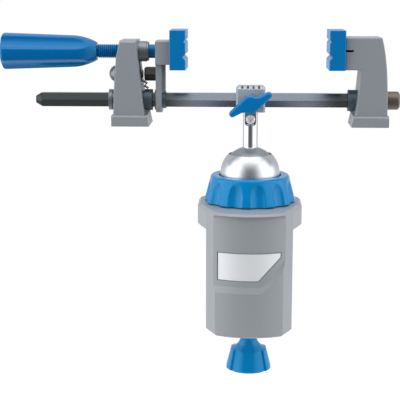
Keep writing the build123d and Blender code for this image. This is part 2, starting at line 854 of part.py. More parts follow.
# Saddle that the bar slides through, on a spigot that turns in the post.
with BuildPart() as bar_saddle:
    with BuildSketch(Plane.XY.offset(saddle_bottom)):
        RectangleRounded(2 * saddle_half, 2 * saddle_depth, saddle_bevel)
    extrude(amount=saddle_top - saddle_bottom)
    crown = bar_saddle.faces().sort_by(Axis.Z)[-1]
    chamfer(crown.edges().filter_by(Axis.Y), saddle_bevel)
    with BuildSketch(Plane.XY.offset(saddle_top)):
        with GridLocations(saddle_slot_pitch, 0, saddle_slots, 1):
            with Locations((0, saddle_lip - saddle_depth)):
                Rectangle(
                    saddle_slot_width,
                    saddle_slot_reach - saddle_lip,
                    align=(Align.CENTER, Align.MIN),
                )
    extrude(amount=-saddle_slot_depth, mode=Mode.SUBTRACT)
    with BuildSketch(Plane.XY.offset(saddle_top)):
        with GridLocations(saddle_slot_pitch, 0, saddle_slots, 1):
            with Locations((0, -saddle_depth)):
                Rectangle(saddle_slot_width, 2 * saddle_lip)
    extrude(amount=-saddle_lip_drop, mode=Mode.SUBTRACT)
    extrude(
        bar_hole(-saddle_half - overrun, bar_flats + 2 * run_gap),
        amount=2 * saddle_half + 2 * overrun,
        mode=Mode.SUBTRACT,
    )
    with BuildSketch(Plane.XZ):
        with Locations((0, lever_height)):
            Circle(lever_screw_radius + thread_gap)
    extrude(amount=saddle_depth + overrun, mode=Mode.SUBTRACT)
    with BuildSketch(Plane.XY.offset(saddle_bottom)):
        Circle(spigot_radius)
    extrude(amount=run_gap - spigot_length)
    with BuildSketch(Plane.XY.offset(post_screw_height - spigot_groove_width / 2)):
        Circle(spigot_radius + overrun)
        Circle(spigot_radius - spigot_groove_depth, mode=Mode.SUBTRACT)
    extrude(amount=spigot_groove_width, mode=Mode.SUBTRACT)
bar_saddle.part.label = "bar_saddle"
export_step(bar_saddle.part, "parts/bar_saddle.step")

# Cross-head screw on the post's flat, its tip in the spigot's groove.
with BuildPart() as post_screw:
    with BuildSketch(Plane.XZ.offset(spigot_radius - spigot_groove_depth + run_gap)):
        with Locations((0, post_screw_height)):
            Circle(post_screw_radius)
    extrude(amount=post_flat - spigot_radius + spigot_groove_depth)
    with BuildSketch(Plane.XZ.offset(post_flat + seat_gap)):
        with Locations((0, post_screw_height)):
            Circle(post_screw_head)
    extrude(amount=post_screw_head_height)
    fillet(post_screw.faces().sort_by(Axis.Y)[0].edges(), soft_edge)
    with BuildSketch(Plane.XZ.offset(post_flat + post_screw_head_height + overrun)):
        with Locations((0, post_screw_height)):
            Rectangle(post_screw_head + post_screw_cross, post_screw_cross)
            Rectangle(post_screw_cross, post_screw_head + post_screw_cross)
    extrude(amount=-post_screw_cross_depth - overrun, mode=Mode.SUBTRACT)
post_screw.part.label = "post_screw"
export_step(post_screw.part, "parts/post_screw.step")

# Pad between the lever's screw and the bar, notched over the bar's front corner.
with BuildPart() as lever_pad:
    with BuildSketch(Plane.XZ.offset(hex_corner / 2)):
        with Locations((0, lever_height)):
            Circle(lever_screw_radius)
    extrude(amount=lever_screw_tip - seat_gap - hex_corner / 2)
    extrude(
        bar_hole(-saddle_half, bar_flats + 2 * seat_gap),
        amount=2 * saddle_half,
        mode=Mode.SUBTRACT,
    )
lever_pad.part.label = "lever_pad"
export_step(lever_pad.part, "parts/lever_pad.step")

# Lever screw.
with BuildPart() as lever_screw:
    with BuildSketch(Plane.XZ.offset(lever_screw_tip)):
        with Locations((0, lever_height)):
            Circle(lever_screw_radius)
    extrude(amount=lever_back - lever_screw_tip + lever_screw_embed)
lever_screw.part.label = "lever_screw"
export_step(lever_screw.part, "parts/lever_screw.step")

# Thumb lever: two wings that leave a round hub on a tangent and come back to it in a hollow.
wing_lean = math.asin((lever_hub_radius - lever_tip_radius) / lever_wing_length)
dip_reach = math.sqrt(lever_hub_radius**2 - lever_tip_radius**2)
with BuildPart() as thumb_lever:
    with BuildSketch(Plane.XZ.offset(lever_wing_back)) as lever_outline:
        with Locations(Location((0, lever_height, 0), lever_tilt)):
            with PolarLocations(0, 2):
                with BuildLine(mode=Mode.PRIVATE) as wing:
                    Polyline(
                        (0, lever_tip_radius),
                        (lever_wing_length, lever_tip_radius),
                        (
                            lever_wing_length + lever_tip_radius * math.sin(wing_lean),
                            -lever_tip_radius * math.cos(wing_lean),
                        ),
                        (lever_hub_radius * math.sin(wing_lean), -lever_hub_radius * math.cos(wing_lean)),
                        (0, 0),
                        close=True,
                    )
                add(make_face(wing.edges(), mode=Mode.PRIVATE))
            with PolarLocations(lever_wing_length, 2):
                Circle(lever_tip_radius)
        with Locations((0, lever_height)):
            Circle(lever_hub_radius)
        hub_middle = Vector(0, lever_height)
        dip = Vector(dip_reach, lever_tip_radius).rotate(Axis.Z, lever_tilt)
        dips = [lever_outline.vertices().sort_by_distance(hub_middle + side)[0] for side in (dip, -dip)]
        fillet(dips, lever_dip)
    extrude(amount=lever_wing_depth)
    fillet(thumb_lever.faces().sort_by(Axis.Y)[0].edges(), lever_edge)
    with BuildSketch(Plane.XZ.offset(lever_back)):
        with Locations((0, lever_height)):
            Circle(lever_hub_radius)
    extrude(amount=lever_wing_step)
    with BuildSketch(Plane.XZ.offset(lever_back)):
        with Locations((0, lever_height)):
            Circle(lever_screw_radius + seat_gap)
    extrude(amount=lever_screw_embed + seat_gap, mode=Mode.SUBTRACT)
thumb_lever.part.label = "thumb_lever"
export_step(thumb_lever.part, "parts/thumb_lever.step")

# Hexagon bar with a turned stub at the fixed jaw and a turned taper at the free end.
with BuildPart() as hex_bar:
    extrude(bar_hole(-bar_left, bar_flats), amount=bar_left + bar_shoulder)
    with BuildSketch(Plane.XZ):
        with BuildLine():
            Polyline(
                (-bar_left, bar_height),
                (-bar_left, bar_height + hex_corner - bar_taper_drop),
                (bar_taper_run - bar_left, bar_height + hex_corner),
                (stub_right, bar_height + hex_corner),
                (stub_right, bar_height),
                close=True,
            )
        make_face()
    revolve(axis=Axis((0, 0, bar_height), (1, 0, 0)), mode=Mode.INTERSECT)
    extrude(disc(bar_shoulder, bar_height, stub_radius), amount=stub_right - bar_shoulder)
hex_bar.part.label = "hex_bar"
export_step(hex_bar.part, "parts/hex_bar.step")

# Fixed jaw.
with BuildPart() as fixed_jaw:
    with BuildSketch(Plane.XZ):
        with BuildLine():
            Spline(
                (fixed_head_right, fixed_head_top),
                (fixed_shoulder_right, fixed_shoulder_height),
                (fixed_waist_right, fixed_waist_height),
                (fixed_foot_right, flange_head - overrun),
            )
            Polyline(
                (fixed_foot_right, flange_head - overrun),
                (fixed_foot_left, flange_head - overrun),
                (fixed_waist_left, fixed_waist_height),
                (fixed_neck_left, fixed_head_bottom),
                (fixed_face, fixed_head_bottom),
                (fixed_face, fixed_head_top),
                (fixed_head_right, fixed_head_top),
            )
        make_face()
    extrude(amount=fixed_depth, both=True)
    fillet(upper_edges(fixed_jaw), soft_edge)
    extrude(
        face_of(
            (fixed_flange_left, flange_foot),
            (fixed_flange_left + flange_draft, flange_head),
            (fixed_flange_right, flange_head),
            (fixed_flange_right, flange_foot),
        ),
        amount=fixed_flange_depth,
        both=True,
    )
    chamfer(flange_rims(fixed_jaw), flange_bevel)
    extrude(
        face_of(
            (fixed_neck_left, bar_height),
            (fixed_bush_left + flange_draft, bar_height - fixed_bush_radius - seat_gap),
            (fixed_flange_left + flange_draft, flange_head),
            (fixed_neck_left, flange_head),
        ),
        amount=gusset_half,
        both=True,
    )
    extrude(
        disc(fixed_bush_left, bar_height, fixed_bush_radius + seat_gap),
        amount=fixed_bush_right - fixed_bush_left,
        mode=Mode.SUBTRACT,
    )
    extrude(
        bar_hole(fixed_bush_left, bar_flats + 2 * seat_gap),
        amount=bar_shoulder + seat_gap - fixed_bush_left,
        mode=Mode.SUBTRACT,
    )
    extrude(
        disc(bar_shoulder, bar_height, stub_radius + seat_gap),
        amount=stub_right - bar_shoulder,
        mode=Mode.SUBTRACT,
    )
    extrude(
        face_of(
            (fixed_face - overrun, tongue_height - tongue_half_thick - seat_gap),
            (fixed_face - overrun, tongue_height + tongue_half_thick + seat_gap),
            (fixed_face + fixed_slot_depth, tongue_height + tongue_half_thick + seat_gap),
            (fixed_face + fixed_slot_depth, tongue_height - tongue_half_thick - seat_gap),
        ),
        amount=fixed_depth + overrun,
        both=True,
        mode=Mode.SUBTRACT,
    )
fixed_jaw.part.label = "fixed_jaw"
export_step(fixed_jaw.part, "parts/fixed_jaw.step")

# Bush between the fixed jaw and the bar.
with BuildPart() as fixed_bush:
    extrude(
        disc(fixed_bush_left, bar_height, fixed_bush_radius),
        amount=fixed_bush_right - seat_gap - fixed_bush_left,
    )
    extrude(
        bar_hole(fixed_bush_left, bar_flats + 2 * seat_gap),
        amount=fixed_bush_right - fixed_bush_left,
        mode=Mode.SUBTRACT,
    )
fixed_bush.part.label = "fixed_bush"
export_step(fixed_bush.part, "parts/fixed_bush.step")

# Nut on the bar's stub.
with BuildPart() as bar_end_nut:
    extrude(
        disc(fixed_foot_right + seat_gap, bar_height, end_nut_radius),
        amount=end_nut_right - fixed_foot_right - seat_gap,
    )
    chamfer(bar_end_nut.faces().sort_by(Axis.X)[-1].edges(), end_nut_edge)
    extrude(
        disc(bar_shoulder, bar_height, stub_radius + seat_gap),
        amount=stub_right + seat_gap - bar_shoulder,
        mode=Mode.SUBTRACT,
    )
bar_end_nut.part.label = "bar_end_nut"
export_step(bar_end_nut.part, "parts/bar_end_nut.step")

# Jaw pads.
fixed_pad_corners, fixed_pad_tongue = pad_outline(fixed_face - seat_gap, -1)
with BuildPart() as fixed_jaw_pad:
    extrude(face_of(*fixed_pad_corners), amount=pad_half, both=True)
    fillet(fixed_jaw_pad.edges().filter_by(Axis.Z), pad_edge)
    extrude(face_of(*fixed_pad_tongue), amount=tongue_half_width, both=True)
fixed_jaw_pad.part.label = "fixed_jaw_pad"
export_step(fixed_jaw_pad.part, "parts/fixed_jaw_pad.step")

sliding_pad_corners, sliding_pad_tongue = pad_outline(carrier_face + seat_gap, 1)
with BuildPart() as sliding_jaw_pad:
    extrude(face_of(*sliding_pad_corners), amount=pad_half, both=True)
    fillet(sliding_jaw_pad.edges().filter_by(Axis.Z), pad_edge)
    extrude(face_of(*sliding_pad_tongue), amount=tongue_half_width, both=True)
sliding_jaw_pad.part.label = "sliding_jaw_pad"
export_step(sliding_jaw_pad.part, "parts/sliding_jaw_pad.step")

# Places on the tower's sloping sides.
nut_seat = tower_right(screw_height - nut_boss_radius) + nut_boss_room
nut_right = nut_seat + nut_boss_length
nut_ring_right = nut_right + nut_ring_length
rivet_seat = tower_left(rivet_height)
rivet_tail = tower_right(rivet_height - rivet_tail_radius) + leaf_thick + 2 * seat_gap
stud_left = rivet_tail + rivet_tail_thick + stud_room

# Carriage casting.
with BuildPart() as carriage_body:
    extrude(
        face_of(
            (tower_top_left, tower_top),
            (tower_top_right, tower_top),
            (tower_shoulder_right, tower_shoulder_height),
            (tower_waist_right, tower_waist_height),
            (tower_foot_right, flange_head - overrun),
            (tower_foot_left, flange_head - overrun),
            (tower_waist_left, tower_waist_height),
            (tower_shoulder_left, tower_shoulder_height),
        ),
        amount=tower_depth,
        both=True,
    )
    crown = carriage_body.faces().sort_by(Axis.Z)[-1]
    chamfer(crown.edges().filter_by(Axis.X), tower_crown)
    fillet(upper_edges(carriage_body), soft_edge)
    extrude(
        face_of(
            (tower_flange_left, flange_foot),
            (tower_flange_left, flange_head),
            (tower_flange_right - flange_draft, flange_head),
            (tower_flange_right, flange_foot),
        ),
        amount=tower_flange_depth,
        both=True,
    )
    chamfer(flange_rims(carriage_body), flange_bevel)
    extrude(
        face_of(
            (tower_foot_right - soft_edge, bar_height),
            (grip_bush_right - flange_draft, bar_height - bush_flange_radius - seat_gap),
            (tower_flange_right - flange_draft, flange_head),
            (tower_foot_right - soft_edge, flange_head),
        ),
        amount=gusset_half,
        both=True,
    )
    extrude(
        disc(tower_foot_left - overrun, bar_height, bush_body_radius + seat_gap),
        amount=tower_foot_right - tower_foot_left + 2 * overrun,
        mode=Mode.SUBTRACT,
    )
    extrude(
        disc(grip_bush_seat - seat_gap, bar_height, bush_flange_radius + seat_gap),
        amount=grip_bush_right - grip_bush_seat + overrun,
        mode=Mode.SUBTRACT,
    )
    extrude(
        disc(tower_foot_left, screw_height, nut_body_radius + seat_gap),
        amount=tower_foot_right - tower_foot_left,
        mode=Mode.SUBTRACT,
    )
    extrude(
        disc(tower_foot_left, rivet_height, rivet_radius + seat_gap),
        amount=tower_foot_right - tower_foot_left,
        mode=Mode.SUBTRACT,
    )
    extrude(
        disc(tower_foot_left, rivet_height, rivet_head_radius + seat_gap),
        amount=rivet_seat - tower_foot_left,
        mode=Mode.SUBTRACT,
    )
carriage_body.part.label = "carriage_body"
export_step(carriage_body.part, "parts/carriage_body.step")

# Nut of the jaw screw, pressed into the carriage from the right.
with BuildPart() as screw_nut:
    extrude(disc(nut_left, screw_height, nut_body_radius), amount=nut_seat - nut_left)
    extrude(disc(nut_seat, screw_height, nut_boss_radius), amount=nut_right - nut_seat)
    extrude(disc(nut_right, screw_height, nut_ring_radius), amount=nut_ring_right - nut_right)
    extrude(
        disc(nut_left, screw_height, nut_bore),
        amount=nut_ring_right - nut_left,
        mode=Mode.SUBTRACT,
    )
screw_nut.part.label = "screw_nut"
export_step(screw_nut.part, "parts/screw_nut.step")

# The two bushes that guide the carriage on the bar.
with BuildPart() as guide_bush:
    extrude(disc(washer_left, bar_height, washer_radius), amount=washer_right - washer_left)
    extrude(disc(washer_right, bar_height, bush_body_radius), amount=carriage_x - seat_gap - washer_right)
    extrude(
        bar_hole(washer_left, bar_flats + 2 * run_gap),
        amount=carriage_x - washer_left,
        mode=Mode.SUBTRACT,
    )
guide_bush.part.label = "guide_bush"
export_step(guide_bush.part, "parts/guide_bush.step")

with BuildPart() as grip_bush:
    extrude(disc(carriage_x, bar_height, bush_body_radius), amount=grip_bush_seat - carriage_x)
    extrude(disc(grip_bush_seat, bar_height, bush_flange_radius), amount=grip_bush_right - grip_bush_seat)
    extrude(
        bar_hole(carriage_x, bar_flats + 2 * run_gap),
        amount=grip_bush_right - carriage_x,
        mode=Mode.SUBTRACT,
    )
grip_bush.part.label = "grip_bush"
export_step(grip_bush.part, "parts/grip_bush.step")

# Bent leaf spring: flat on the carriage, then folded down on to the bush.
leaf_lift = leaf_thick / 2 + seat_gap
leaf_knee_x = tower_right(leaf_knee_height) + leaf_lift
with BuildPart() as slide_spring:
    with BuildSketch(Plane.XZ):
        with BuildLine():
            Polyline(
                (tower_right(leaf_top) + leaf_lift, leaf_top),
                (leaf_knee_x, leaf_knee_height),
                (leaf_knee_x + leaf_knee_run, leaf_bend_height),
                (leaf_knee_x + leaf_knee_run - leaf_back_run, leaf_back_height),
                (grip_bush_seat + leaf_tip_inset, leaf_tip_height),
            )
        trace(line_width=leaf_thick)
    extrude(amount=leaf_half_width, both=True)
    with BuildSketch(Plane.YZ.offset(tower_foot_left)):
        with Locations((0, rivet_height)):
            Circle(rivet_radius + seat_gap)
    extrude(amount=-tower_foot_left, mode=Mode.SUBTRACT)
slide_spring.part.label = "slide_spring"
export_step(slide_spring.part, "parts/slide_spring.step")

# Domed rivet through the carriage that holds the spring.
dome_radius = (rivet_head_radius**2 + rivet_head_rise**2) / (2 * rivet_head_rise)
with BuildPart() as spring_rivet:
    with Locations((rivet_seat - seat_gap - rivet_head_rise + dome_radius, 0, rivet_height)):
        Sphere(dome_radius)
    split(bisect_by=Plane.YZ.offset(rivet_seat - seat_gap), keep=Keep.BOTTOM)
    extrude(
        disc(rivet_seat - seat_gap, rivet_height, rivet_radius),
        amount=rivet_tail - rivet_seat + seat_gap,
    )
    extrude(disc(rivet_tail, rivet_height, rivet_tail_radius), amount=rivet_tail_thick)
spring_rivet.part.label = "spring_rivet"
export_step(spring_rivet.part, "parts/spring_rivet.step")

# Jaw carrier: a head block for the pad on a ribbed web that rides the bar.
with BuildPart() as jaw_carrier:
    with BuildSketch(Plane.YZ.offset(carrier_left)):
        with Locations((0, carrier_foot)):
            RectangleRounded(
                2 * carrier_web_depth,
                carrier_head_top - carrier_foot,
                carrier_foot_round,
                align=(Align.CENTER, Align.MIN),
            )
    extrude(amount=carrier_web_right - carrier_left)
    with BuildSketch(Plane.YZ.offset(carrier_left)):
        with Locations((0, carrier_head_bottom)):
            RectangleRounded(
                2 * carrier_head_depth,
                carrier_head_top - carrier_head_bottom,
                soft_edge,
                align=(Align.CENTER, Align.MIN),
            )
    extrude(amount=carrier_face - carrier_left)
    with BuildSketch(Plane.YZ.offset(carrier_left)):
        with Locations((0, bar_height)):
            Rectangle(
                2 * carrier_rib_depth,
                carrier_head_bottom - bar_height + overrun,
                align=(Align.CENTER, Align.MIN),
            )
    extrude(amount=carrier_rib_right - carrier_left)
    extrude(
        disc(carrier_left - overrun, bar_height, carrier_bush_radius + seat_gap),
        amount=carrier_face - carrier_left,
        mode=Mode.SUBTRACT,
    )
    extrude(
        disc(carrier_left - overrun, screw_height, journal_radius + run_gap),
        amount=journal_right + run_gap - carrier_left + overrun,
        mode=Mode.SUBTRACT,
    )
    extrude(
        disc(carrier_left - overrun, rivet_height, stud_shank_radius + seat_gap),
        amount=carrier_web_right - carrier_left + overrun,
        mode=Mode.SUBTRACT,
    )
    extrude(
        face_of(
            (carrier_face + overrun, tongue_height - tongue_half_thick - seat_gap),
            (carrier_face + overrun, tongue_height + tongue_half_thick + seat_gap),
            (carrier_face - tongue_depth, tongue_height + tongue_half_thick + seat_gap),
            (carrier_face - tongue_depth, tongue_height - tongue_half_thick - seat_gap),
        ),
        amount=tongue_half_width + seat_gap,
        both=True,
        mode=Mode.SUBTRACT,
    )
    with BuildSketch(Plane.XY.offset(carrier_head_top + overrun)):
        with Locations((pin_x, pin_y)):
            Circle(pin_radius + seat_gap)
    extrude(amount=-pin_length - overrun - seat_gap, mode=Mode.SUBTRACT)
jaw_carrier.part.label = "jaw_carrier"
export_step(jaw_carrier.part, "parts/jaw_carrier.step")

# Pin that keeps the screw's journal in the carrier.
with BuildPart() as retaining_pin:
    with BuildSketch(Plane.XY.offset(carrier_head_top)):
        with Locations((pin_x, pin_y)):
            Circle(pin_radius)
    extrude(amount=-pin_length)
retaining_pin.part.label = "retaining_pin"
export_step(retaining_pin.part, "parts/retaining_pin.step")

# Bush that guides the carrier on the bar.
with BuildPart() as carrier_bush:
    extrude(
        disc(carrier_bush_left, bar_height, carrier_bush_flange),
        amount=carrier_left - seat_gap - carrier_bush_left,
    )
    extrude(
        disc(carrier_bush_left, bar_height, carrier_bush_radius),
        amount=carrier_bush_right - carrier_bush_left,
    )
    extrude(
        bar_hole(carrier_bush_left, bar_flats + 2 * run_gap),
        amount=carrier_bush_right - carrier_bush_left,
        mode=Mode.SUBTRACT,
    )
carrier_bush.part.label = "carrier_bush"
export_step(carrier_bush.part, "parts/carrier_bush.step")

# Hexagon stud that stops the carrier short of the carriage.
with BuildPart() as stop_stud:
    with BuildSketch(Plane.YZ.offset(stud_left)):
        with Locations((0, rivet_height)):
            RegularPolygon(stud_flats / 2, 6, major_radius=False)
    extrude(amount=carrier_left - seat_gap - stud_left)
    chamfer(stop_stud.faces().sort_by(Axis.X)[0].edges(), stud_chamfer)
    extrude(
        disc(carrier_left - seat_gap, rivet_height, stud_shank_radius),
        amount=carrier_web_right - carrier_left + seat_gap,
    )
stop_stud.part.label = "stop_stud"
export_step(stop_stud.part, "parts/stop_stud.step")

# Fluted handle and jaw screw. The work plane looks along the screw from the middle of the grip.
grip_middle = (grip_left + taper_right) / 2
grip_plane = Plane(origin=(grip_middle, 0, screw_height), x_dir=(0, -1, 0), z_dir=(1, 0, 0))
grip_fall_share = (grip_middle - grip_left) / (grip_right - grip_left)
grip_middle_radius = grip_end_radius + grip_fall_share * (grip_neck_radius - grip_end_radius)
screw_axis = Axis((0, 0, screw_height), (1, 0, 0))
with BuildPart() as jaw_handle:
    with BuildSketch(Plane.XZ):
        with BuildLine():
            Polyline(
                (grip_left, screw_height),
                (grip_left, screw_height + grip_end_radius),
                (grip_right, screw_height + grip_neck_radius),
            )
            SagittaArc(
                (grip_right, screw_height + grip_neck_radius),
                (taper_right, screw_height + taper_radius),
                -taper_bulge,
            )
            Polyline(
                (taper_right, screw_height + taper_radius),
                (taper_right, screw_height + jaw_thread_core),
                (jaw_thread_right, screw_height + jaw_thread_core),
                (jaw_thread_right, screw_height + jaw_tip_radius),
                (carrier_left - run_gap, screw_height + jaw_tip_radius),
                (carrier_left - run_gap, screw_height + journal_radius),
                (pin_x - pin_half, screw_height + journal_radius),
                (pin_x - pin_half, screw_height + journal_radius - journal_groove_depth),
                (pin_x + pin_half, screw_height + journal_radius - journal_groove_depth),
                (pin_x + pin_half, screw_height + journal_radius),
                (journal_right, screw_height + journal_radius),
                (journal_right, screw_height),
                (grip_left, screw_height),
            )
        make_face()
    revolve(axis=screw_axis)
    fillet(jaw_handle.edges().filter_by(GeomType.CIRCLE).sort_by(Axis.X)[0], grip_round)
    flute_reach = grip_middle_radius - grip_flute_depth + grip_flute_radius
    with Locations(grip_plane):
        with PolarLocations(flute_reach, grip_flutes, grip_flute_start):
            Cylinder(
                grip_flute_radius,
                taper_right - grip_left + 2 * overrun,
                rotation=(0, -grip_flute_lean, 0),
                mode=Mode.SUBTRACT,
            )
    add(
        thread_ridge(
            Plane(origin=(taper_right, 0, screw_height), z_dir=(1, 0, 0)),
            jaw_thread_core,
            jaw_thread_ridge,
            jaw_thread_pitch,
            jaw_thread_right - taper_right,
        )
    )
jaw_handle.part.label = "jaw_handle"
export_step(jaw_handle.part, "parts/jaw_handle.step")

# Clamp screw under the bench.
with BuildPart() as clamp_screw:
    with BuildSketch(Plane.XY.offset(knob_top - knob_bore_depth)):
        Circle(clamp_core)
    extrude(amount=clamp_thread_top - knob_top + knob_bore_depth)
    with BuildSketch(Plane.XY.offset(clamp_thread_top)):
        Circle(clamp_journal_radius)
    extrude(amount=clamp_journal_top - clamp_thread_top)
    with BuildSketch(Plane.XY.offset(clip_bottom - seat_gap)):
        Circle(clamp_core)
        Circle(clamp_journal_radius - clamp_journal_groove, mode=Mode.SUBTRACT)
    extrude(amount=clip_thick + 2 * seat_gap, mode=Mode.SUBTRACT)
    add(
        thread_ridge(
            Plane.XY.offset(knob_top + clamp_pitch),
            clamp_core,
            clamp_ridge,
            clamp_pitch,
            clamp_thread_top - knob_top - 2 * clamp_pitch,
        )
    )
clamp_screw.part.label = "clamp_screw"
export_step(clamp_screw.part, "parts/clamp_screw.step")

# Lobed knob on the clamp screw.
knob_lean = math.degrees(math.atan2(knob_foot_radius - knob_waist_radius, knob_waist - knob_bottom))
knob_middle_radius = (knob_foot_radius + knob_waist_radius) / 2
knob_notch_reach = knob_middle_radius - knob_notch_depth + knob_notch_radius
knob_dent_reach = knob_middle_radius - knob_dent_depth + knob_dent_radius
lobe_angle = 360 / knob_lobes
with BuildPart(Plane.XY.offset((knob_waist + knob_bottom) / 2)) as clamp_knob:
    with BuildSketch(Plane.XZ):
        with BuildLine():
            Polyline(
                (0, knob_top),
                (knob_neck_radius, knob_top),
                (knob_neck_radius, knob_neck_bottom),
            )
            SagittaArc(
                (knob_neck_radius, knob_neck_bottom),
                (knob_shoulder_radius, knob_shoulder),
                knob_flare,
            )
            Polyline(
                (knob_shoulder_radius, knob_shoulder),
                (knob_waist_radius, knob_waist),
                (knob_foot_radius, knob_bottom),
                (0, knob_bottom),
                (0, knob_top),
            )
        make_face()
    revolve(axis=Axis.Z)
    fillet(clamp_knob.edges().filter_by(GeomType.CIRCLE).sort_by(Axis.Z)[0], knob_foot_round)
    with PolarLocations(knob_notch_reach, knob_lobes, lobe_angle / 2):
        Cylinder(
            knob_notch_radius,
            2 * (knob_waist - knob_bottom),
            rotation=(0, -knob_lean, 0),
            mode=Mode.SUBTRACT,
        )
    with PolarLocations(knob_dent_reach, knob_lobes):
        Cylinder(
            knob_dent_radius,
            2 * (knob_waist - knob_bottom),
            rotation=(0, -knob_lean, 0),
            mode=Mode.SUBTRACT,
        )
    with BuildSketch(Plane.XY.offset(knob_top)):
        Circle(clamp_core + seat_gap)
    extrude(amount=-knob_bore_depth - seat_gap, mode=Mode.SUBTRACT)
clamp_knob.part.label = "clamp_knob"
export_step(clamp_knob.part, "parts/clamp_knob.step")

# Shoe on the screw's journal, its clip and the pad that meets the bench.
with BuildPart() as clamp_shoe:
    with BuildSketch(Plane.XZ):
        with BuildLine():
            Polyline(
                (0, shoe_top),
                (shoe_radius, shoe_top),
                (shoe_radius, shoe_top - shoe_rim),
                (shoe_hub_radius, shoe_bottom),
                (0, shoe_bottom),
                close=True,
            )
        make_face()
    revolve(axis=Axis.Z)
    with BuildSketch(Plane.XY.offset(shoe_top)):
        Circle(shoe_recess_radius)
    extrude(amount=-shoe_recess_depth, mode=Mode.SUBTRACT)
    with BuildSketch(Plane.XY.offset(shoe_top)):
        Circle(clamp_journal_radius + run_gap)
    extrude(amount=-shoe_thick, mode=Mode.SUBTRACT)
clamp_shoe.part.label = "clamp_shoe"
export_step(clamp_shoe.part, "parts/clamp_shoe.step")

with BuildPart() as shoe_clip:
    with BuildSketch(Plane.XY.offset(clip_bottom)):
        Circle(clip_outer)
        Circle(clamp_journal_radius - clamp_journal_groove + run_gap, mode=Mode.SUBTRACT)
        with Locations((clip_outer, 0)):
            Rectangle(2 * clip_outer, 2 * clip_mouth_half, mode=Mode.SUBTRACT)
    extrude(amount=clip_thick)
shoe_clip.part.label = "shoe_clip"
export_step(shoe_clip.part, "parts/shoe_clip.step")

with BuildPart() as shoe_pad:
    with BuildSketch(Plane.XY.offset(-board_thick)):
        Circle(shoe_pad_radius)
    extrude(amount=-shoe_pad_thick)
shoe_pad.part.label = "shoe_pad"
export_step(shoe_pad.part, "parts/shoe_pad.step")
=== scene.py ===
# %% [markdown]
# # A tilting vise
# The vise was built as solids first, and every solid arrives here as a mesh in its own place. This script
# gives each of them a finish, and remakes the turned and moulded pieces as finer surfaces so that the
# light runs over them smoothly. Sizes are in millimetres, and turn into metres as a mesh is made.

import json
import math

import bpy
import numpy as np
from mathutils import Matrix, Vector

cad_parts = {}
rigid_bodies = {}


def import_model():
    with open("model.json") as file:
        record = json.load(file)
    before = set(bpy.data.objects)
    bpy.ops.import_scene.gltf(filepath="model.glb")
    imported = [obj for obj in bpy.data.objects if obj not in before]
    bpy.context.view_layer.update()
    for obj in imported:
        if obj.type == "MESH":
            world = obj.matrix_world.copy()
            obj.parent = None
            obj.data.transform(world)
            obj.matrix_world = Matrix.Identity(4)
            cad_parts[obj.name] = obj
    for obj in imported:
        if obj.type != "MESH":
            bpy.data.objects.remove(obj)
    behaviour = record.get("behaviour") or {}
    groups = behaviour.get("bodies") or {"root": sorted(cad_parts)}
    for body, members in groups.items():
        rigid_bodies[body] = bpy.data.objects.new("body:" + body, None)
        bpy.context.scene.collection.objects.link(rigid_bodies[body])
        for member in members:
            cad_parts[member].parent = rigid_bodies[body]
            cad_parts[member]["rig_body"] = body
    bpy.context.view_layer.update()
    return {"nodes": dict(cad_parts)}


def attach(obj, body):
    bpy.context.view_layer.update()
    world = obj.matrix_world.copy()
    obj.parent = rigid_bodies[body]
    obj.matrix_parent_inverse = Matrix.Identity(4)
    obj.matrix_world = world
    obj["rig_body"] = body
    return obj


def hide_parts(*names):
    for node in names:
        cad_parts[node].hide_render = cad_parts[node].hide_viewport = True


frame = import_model()
nodes = frame["nodes"]

# %% [markdown]
# ## A mesh from rings
# Most of the pieces were turned on a lathe or moulded in a round tool. Blender can turn a profile with
# its Screw modifier, but then every ring is a plain circle. Here a piece is a stack of rings of points,
# and a ring's radius may depend on the angle, so hollows, flats and threads are part of the same surface.
# A piece with a hole through it joins its last ring to its first.

# %% Mesh from rings
MM = 0.001
FULL_TURN = 2 * math.pi
# Edges sharper than this many degrees stay sharp: on turned pieces, and on moulded ones, which are softer.
TURNED_CREASE = 35
MOULDED_CREASE = 40


def mesh_piece(name, points, faces, crease):
    """Points in millimetres and faces as index rows; edges sharper than crease degrees stay sharp."""
    mesh = bpy.data.meshes.new(name)
    mesh.from_pydata((points * MM).tolist(), [], faces)
    mesh.polygons.foreach_set("use_smooth", np.ones(len(mesh.polygons), dtype=bool))
    mesh.set_sharp_from_angle(angle=math.radians(crease))
    piece = bpy.data.objects.new(name, mesh)
    bpy.context.scene.collection.objects.link(piece)
    return piece


def quads(rows, around, joined):
    """Index rows of the four corners between neighbouring rings; joined links the last to the first too."""
    row, turn = np.meshgrid(np.arange(rows if joined else rows - 1), np.arange(around), indexing="ij")
    after = (row + 1) % rows
    beside = (turn + 1) % around
    corners = (row * around + turn, row * around + beside, after * around + beside, after * around + turn)
    return np.stack(corners, axis=-1).reshape(-1, 4)


def holed(name, rings, crease):
    """A surface from rings of points, shape (along, around, 3), whose last ring joins the first."""
    rows, around = rings.shape[:2]
    return mesh_piece(name, rings.reshape(-1, 3), quads(rows, around, True).tolist(), crease)


def angles(count):
    """That many angles, evenly round the full turn, as one row."""
    return np.linspace(0, FULL_TURN, count, endpoint=False)[None, :]


def around_z(radius, height, angle):
    """Points at that radius and height, the angle counted from +X towards +Y."""
    across = radius * np.cos(angle)
    return np.stack([across, radius * np.sin(angle), np.broadcast_to(height, across.shape)], axis=-1)


print("edges stay sharp above", TURNED_CREASE, "or", MOULDED_CREASE, "degrees")

# %% [markdown]
# ## Outlines
# A profile is written with the few corners that it has on a drawing. One function rounds the corners, as
# a tool does, and another adds points so that the faces stay small where the radius changes with the
# angle. A bevel modifier would round the mesh afterwards, but it can't tell a moulded edge from a
# hollow's.

# %% Outlines
# A corner's curve takes at most this share of the line on either side, so that two curves never meet.
CORNER_SHARE = 1 / 2.2


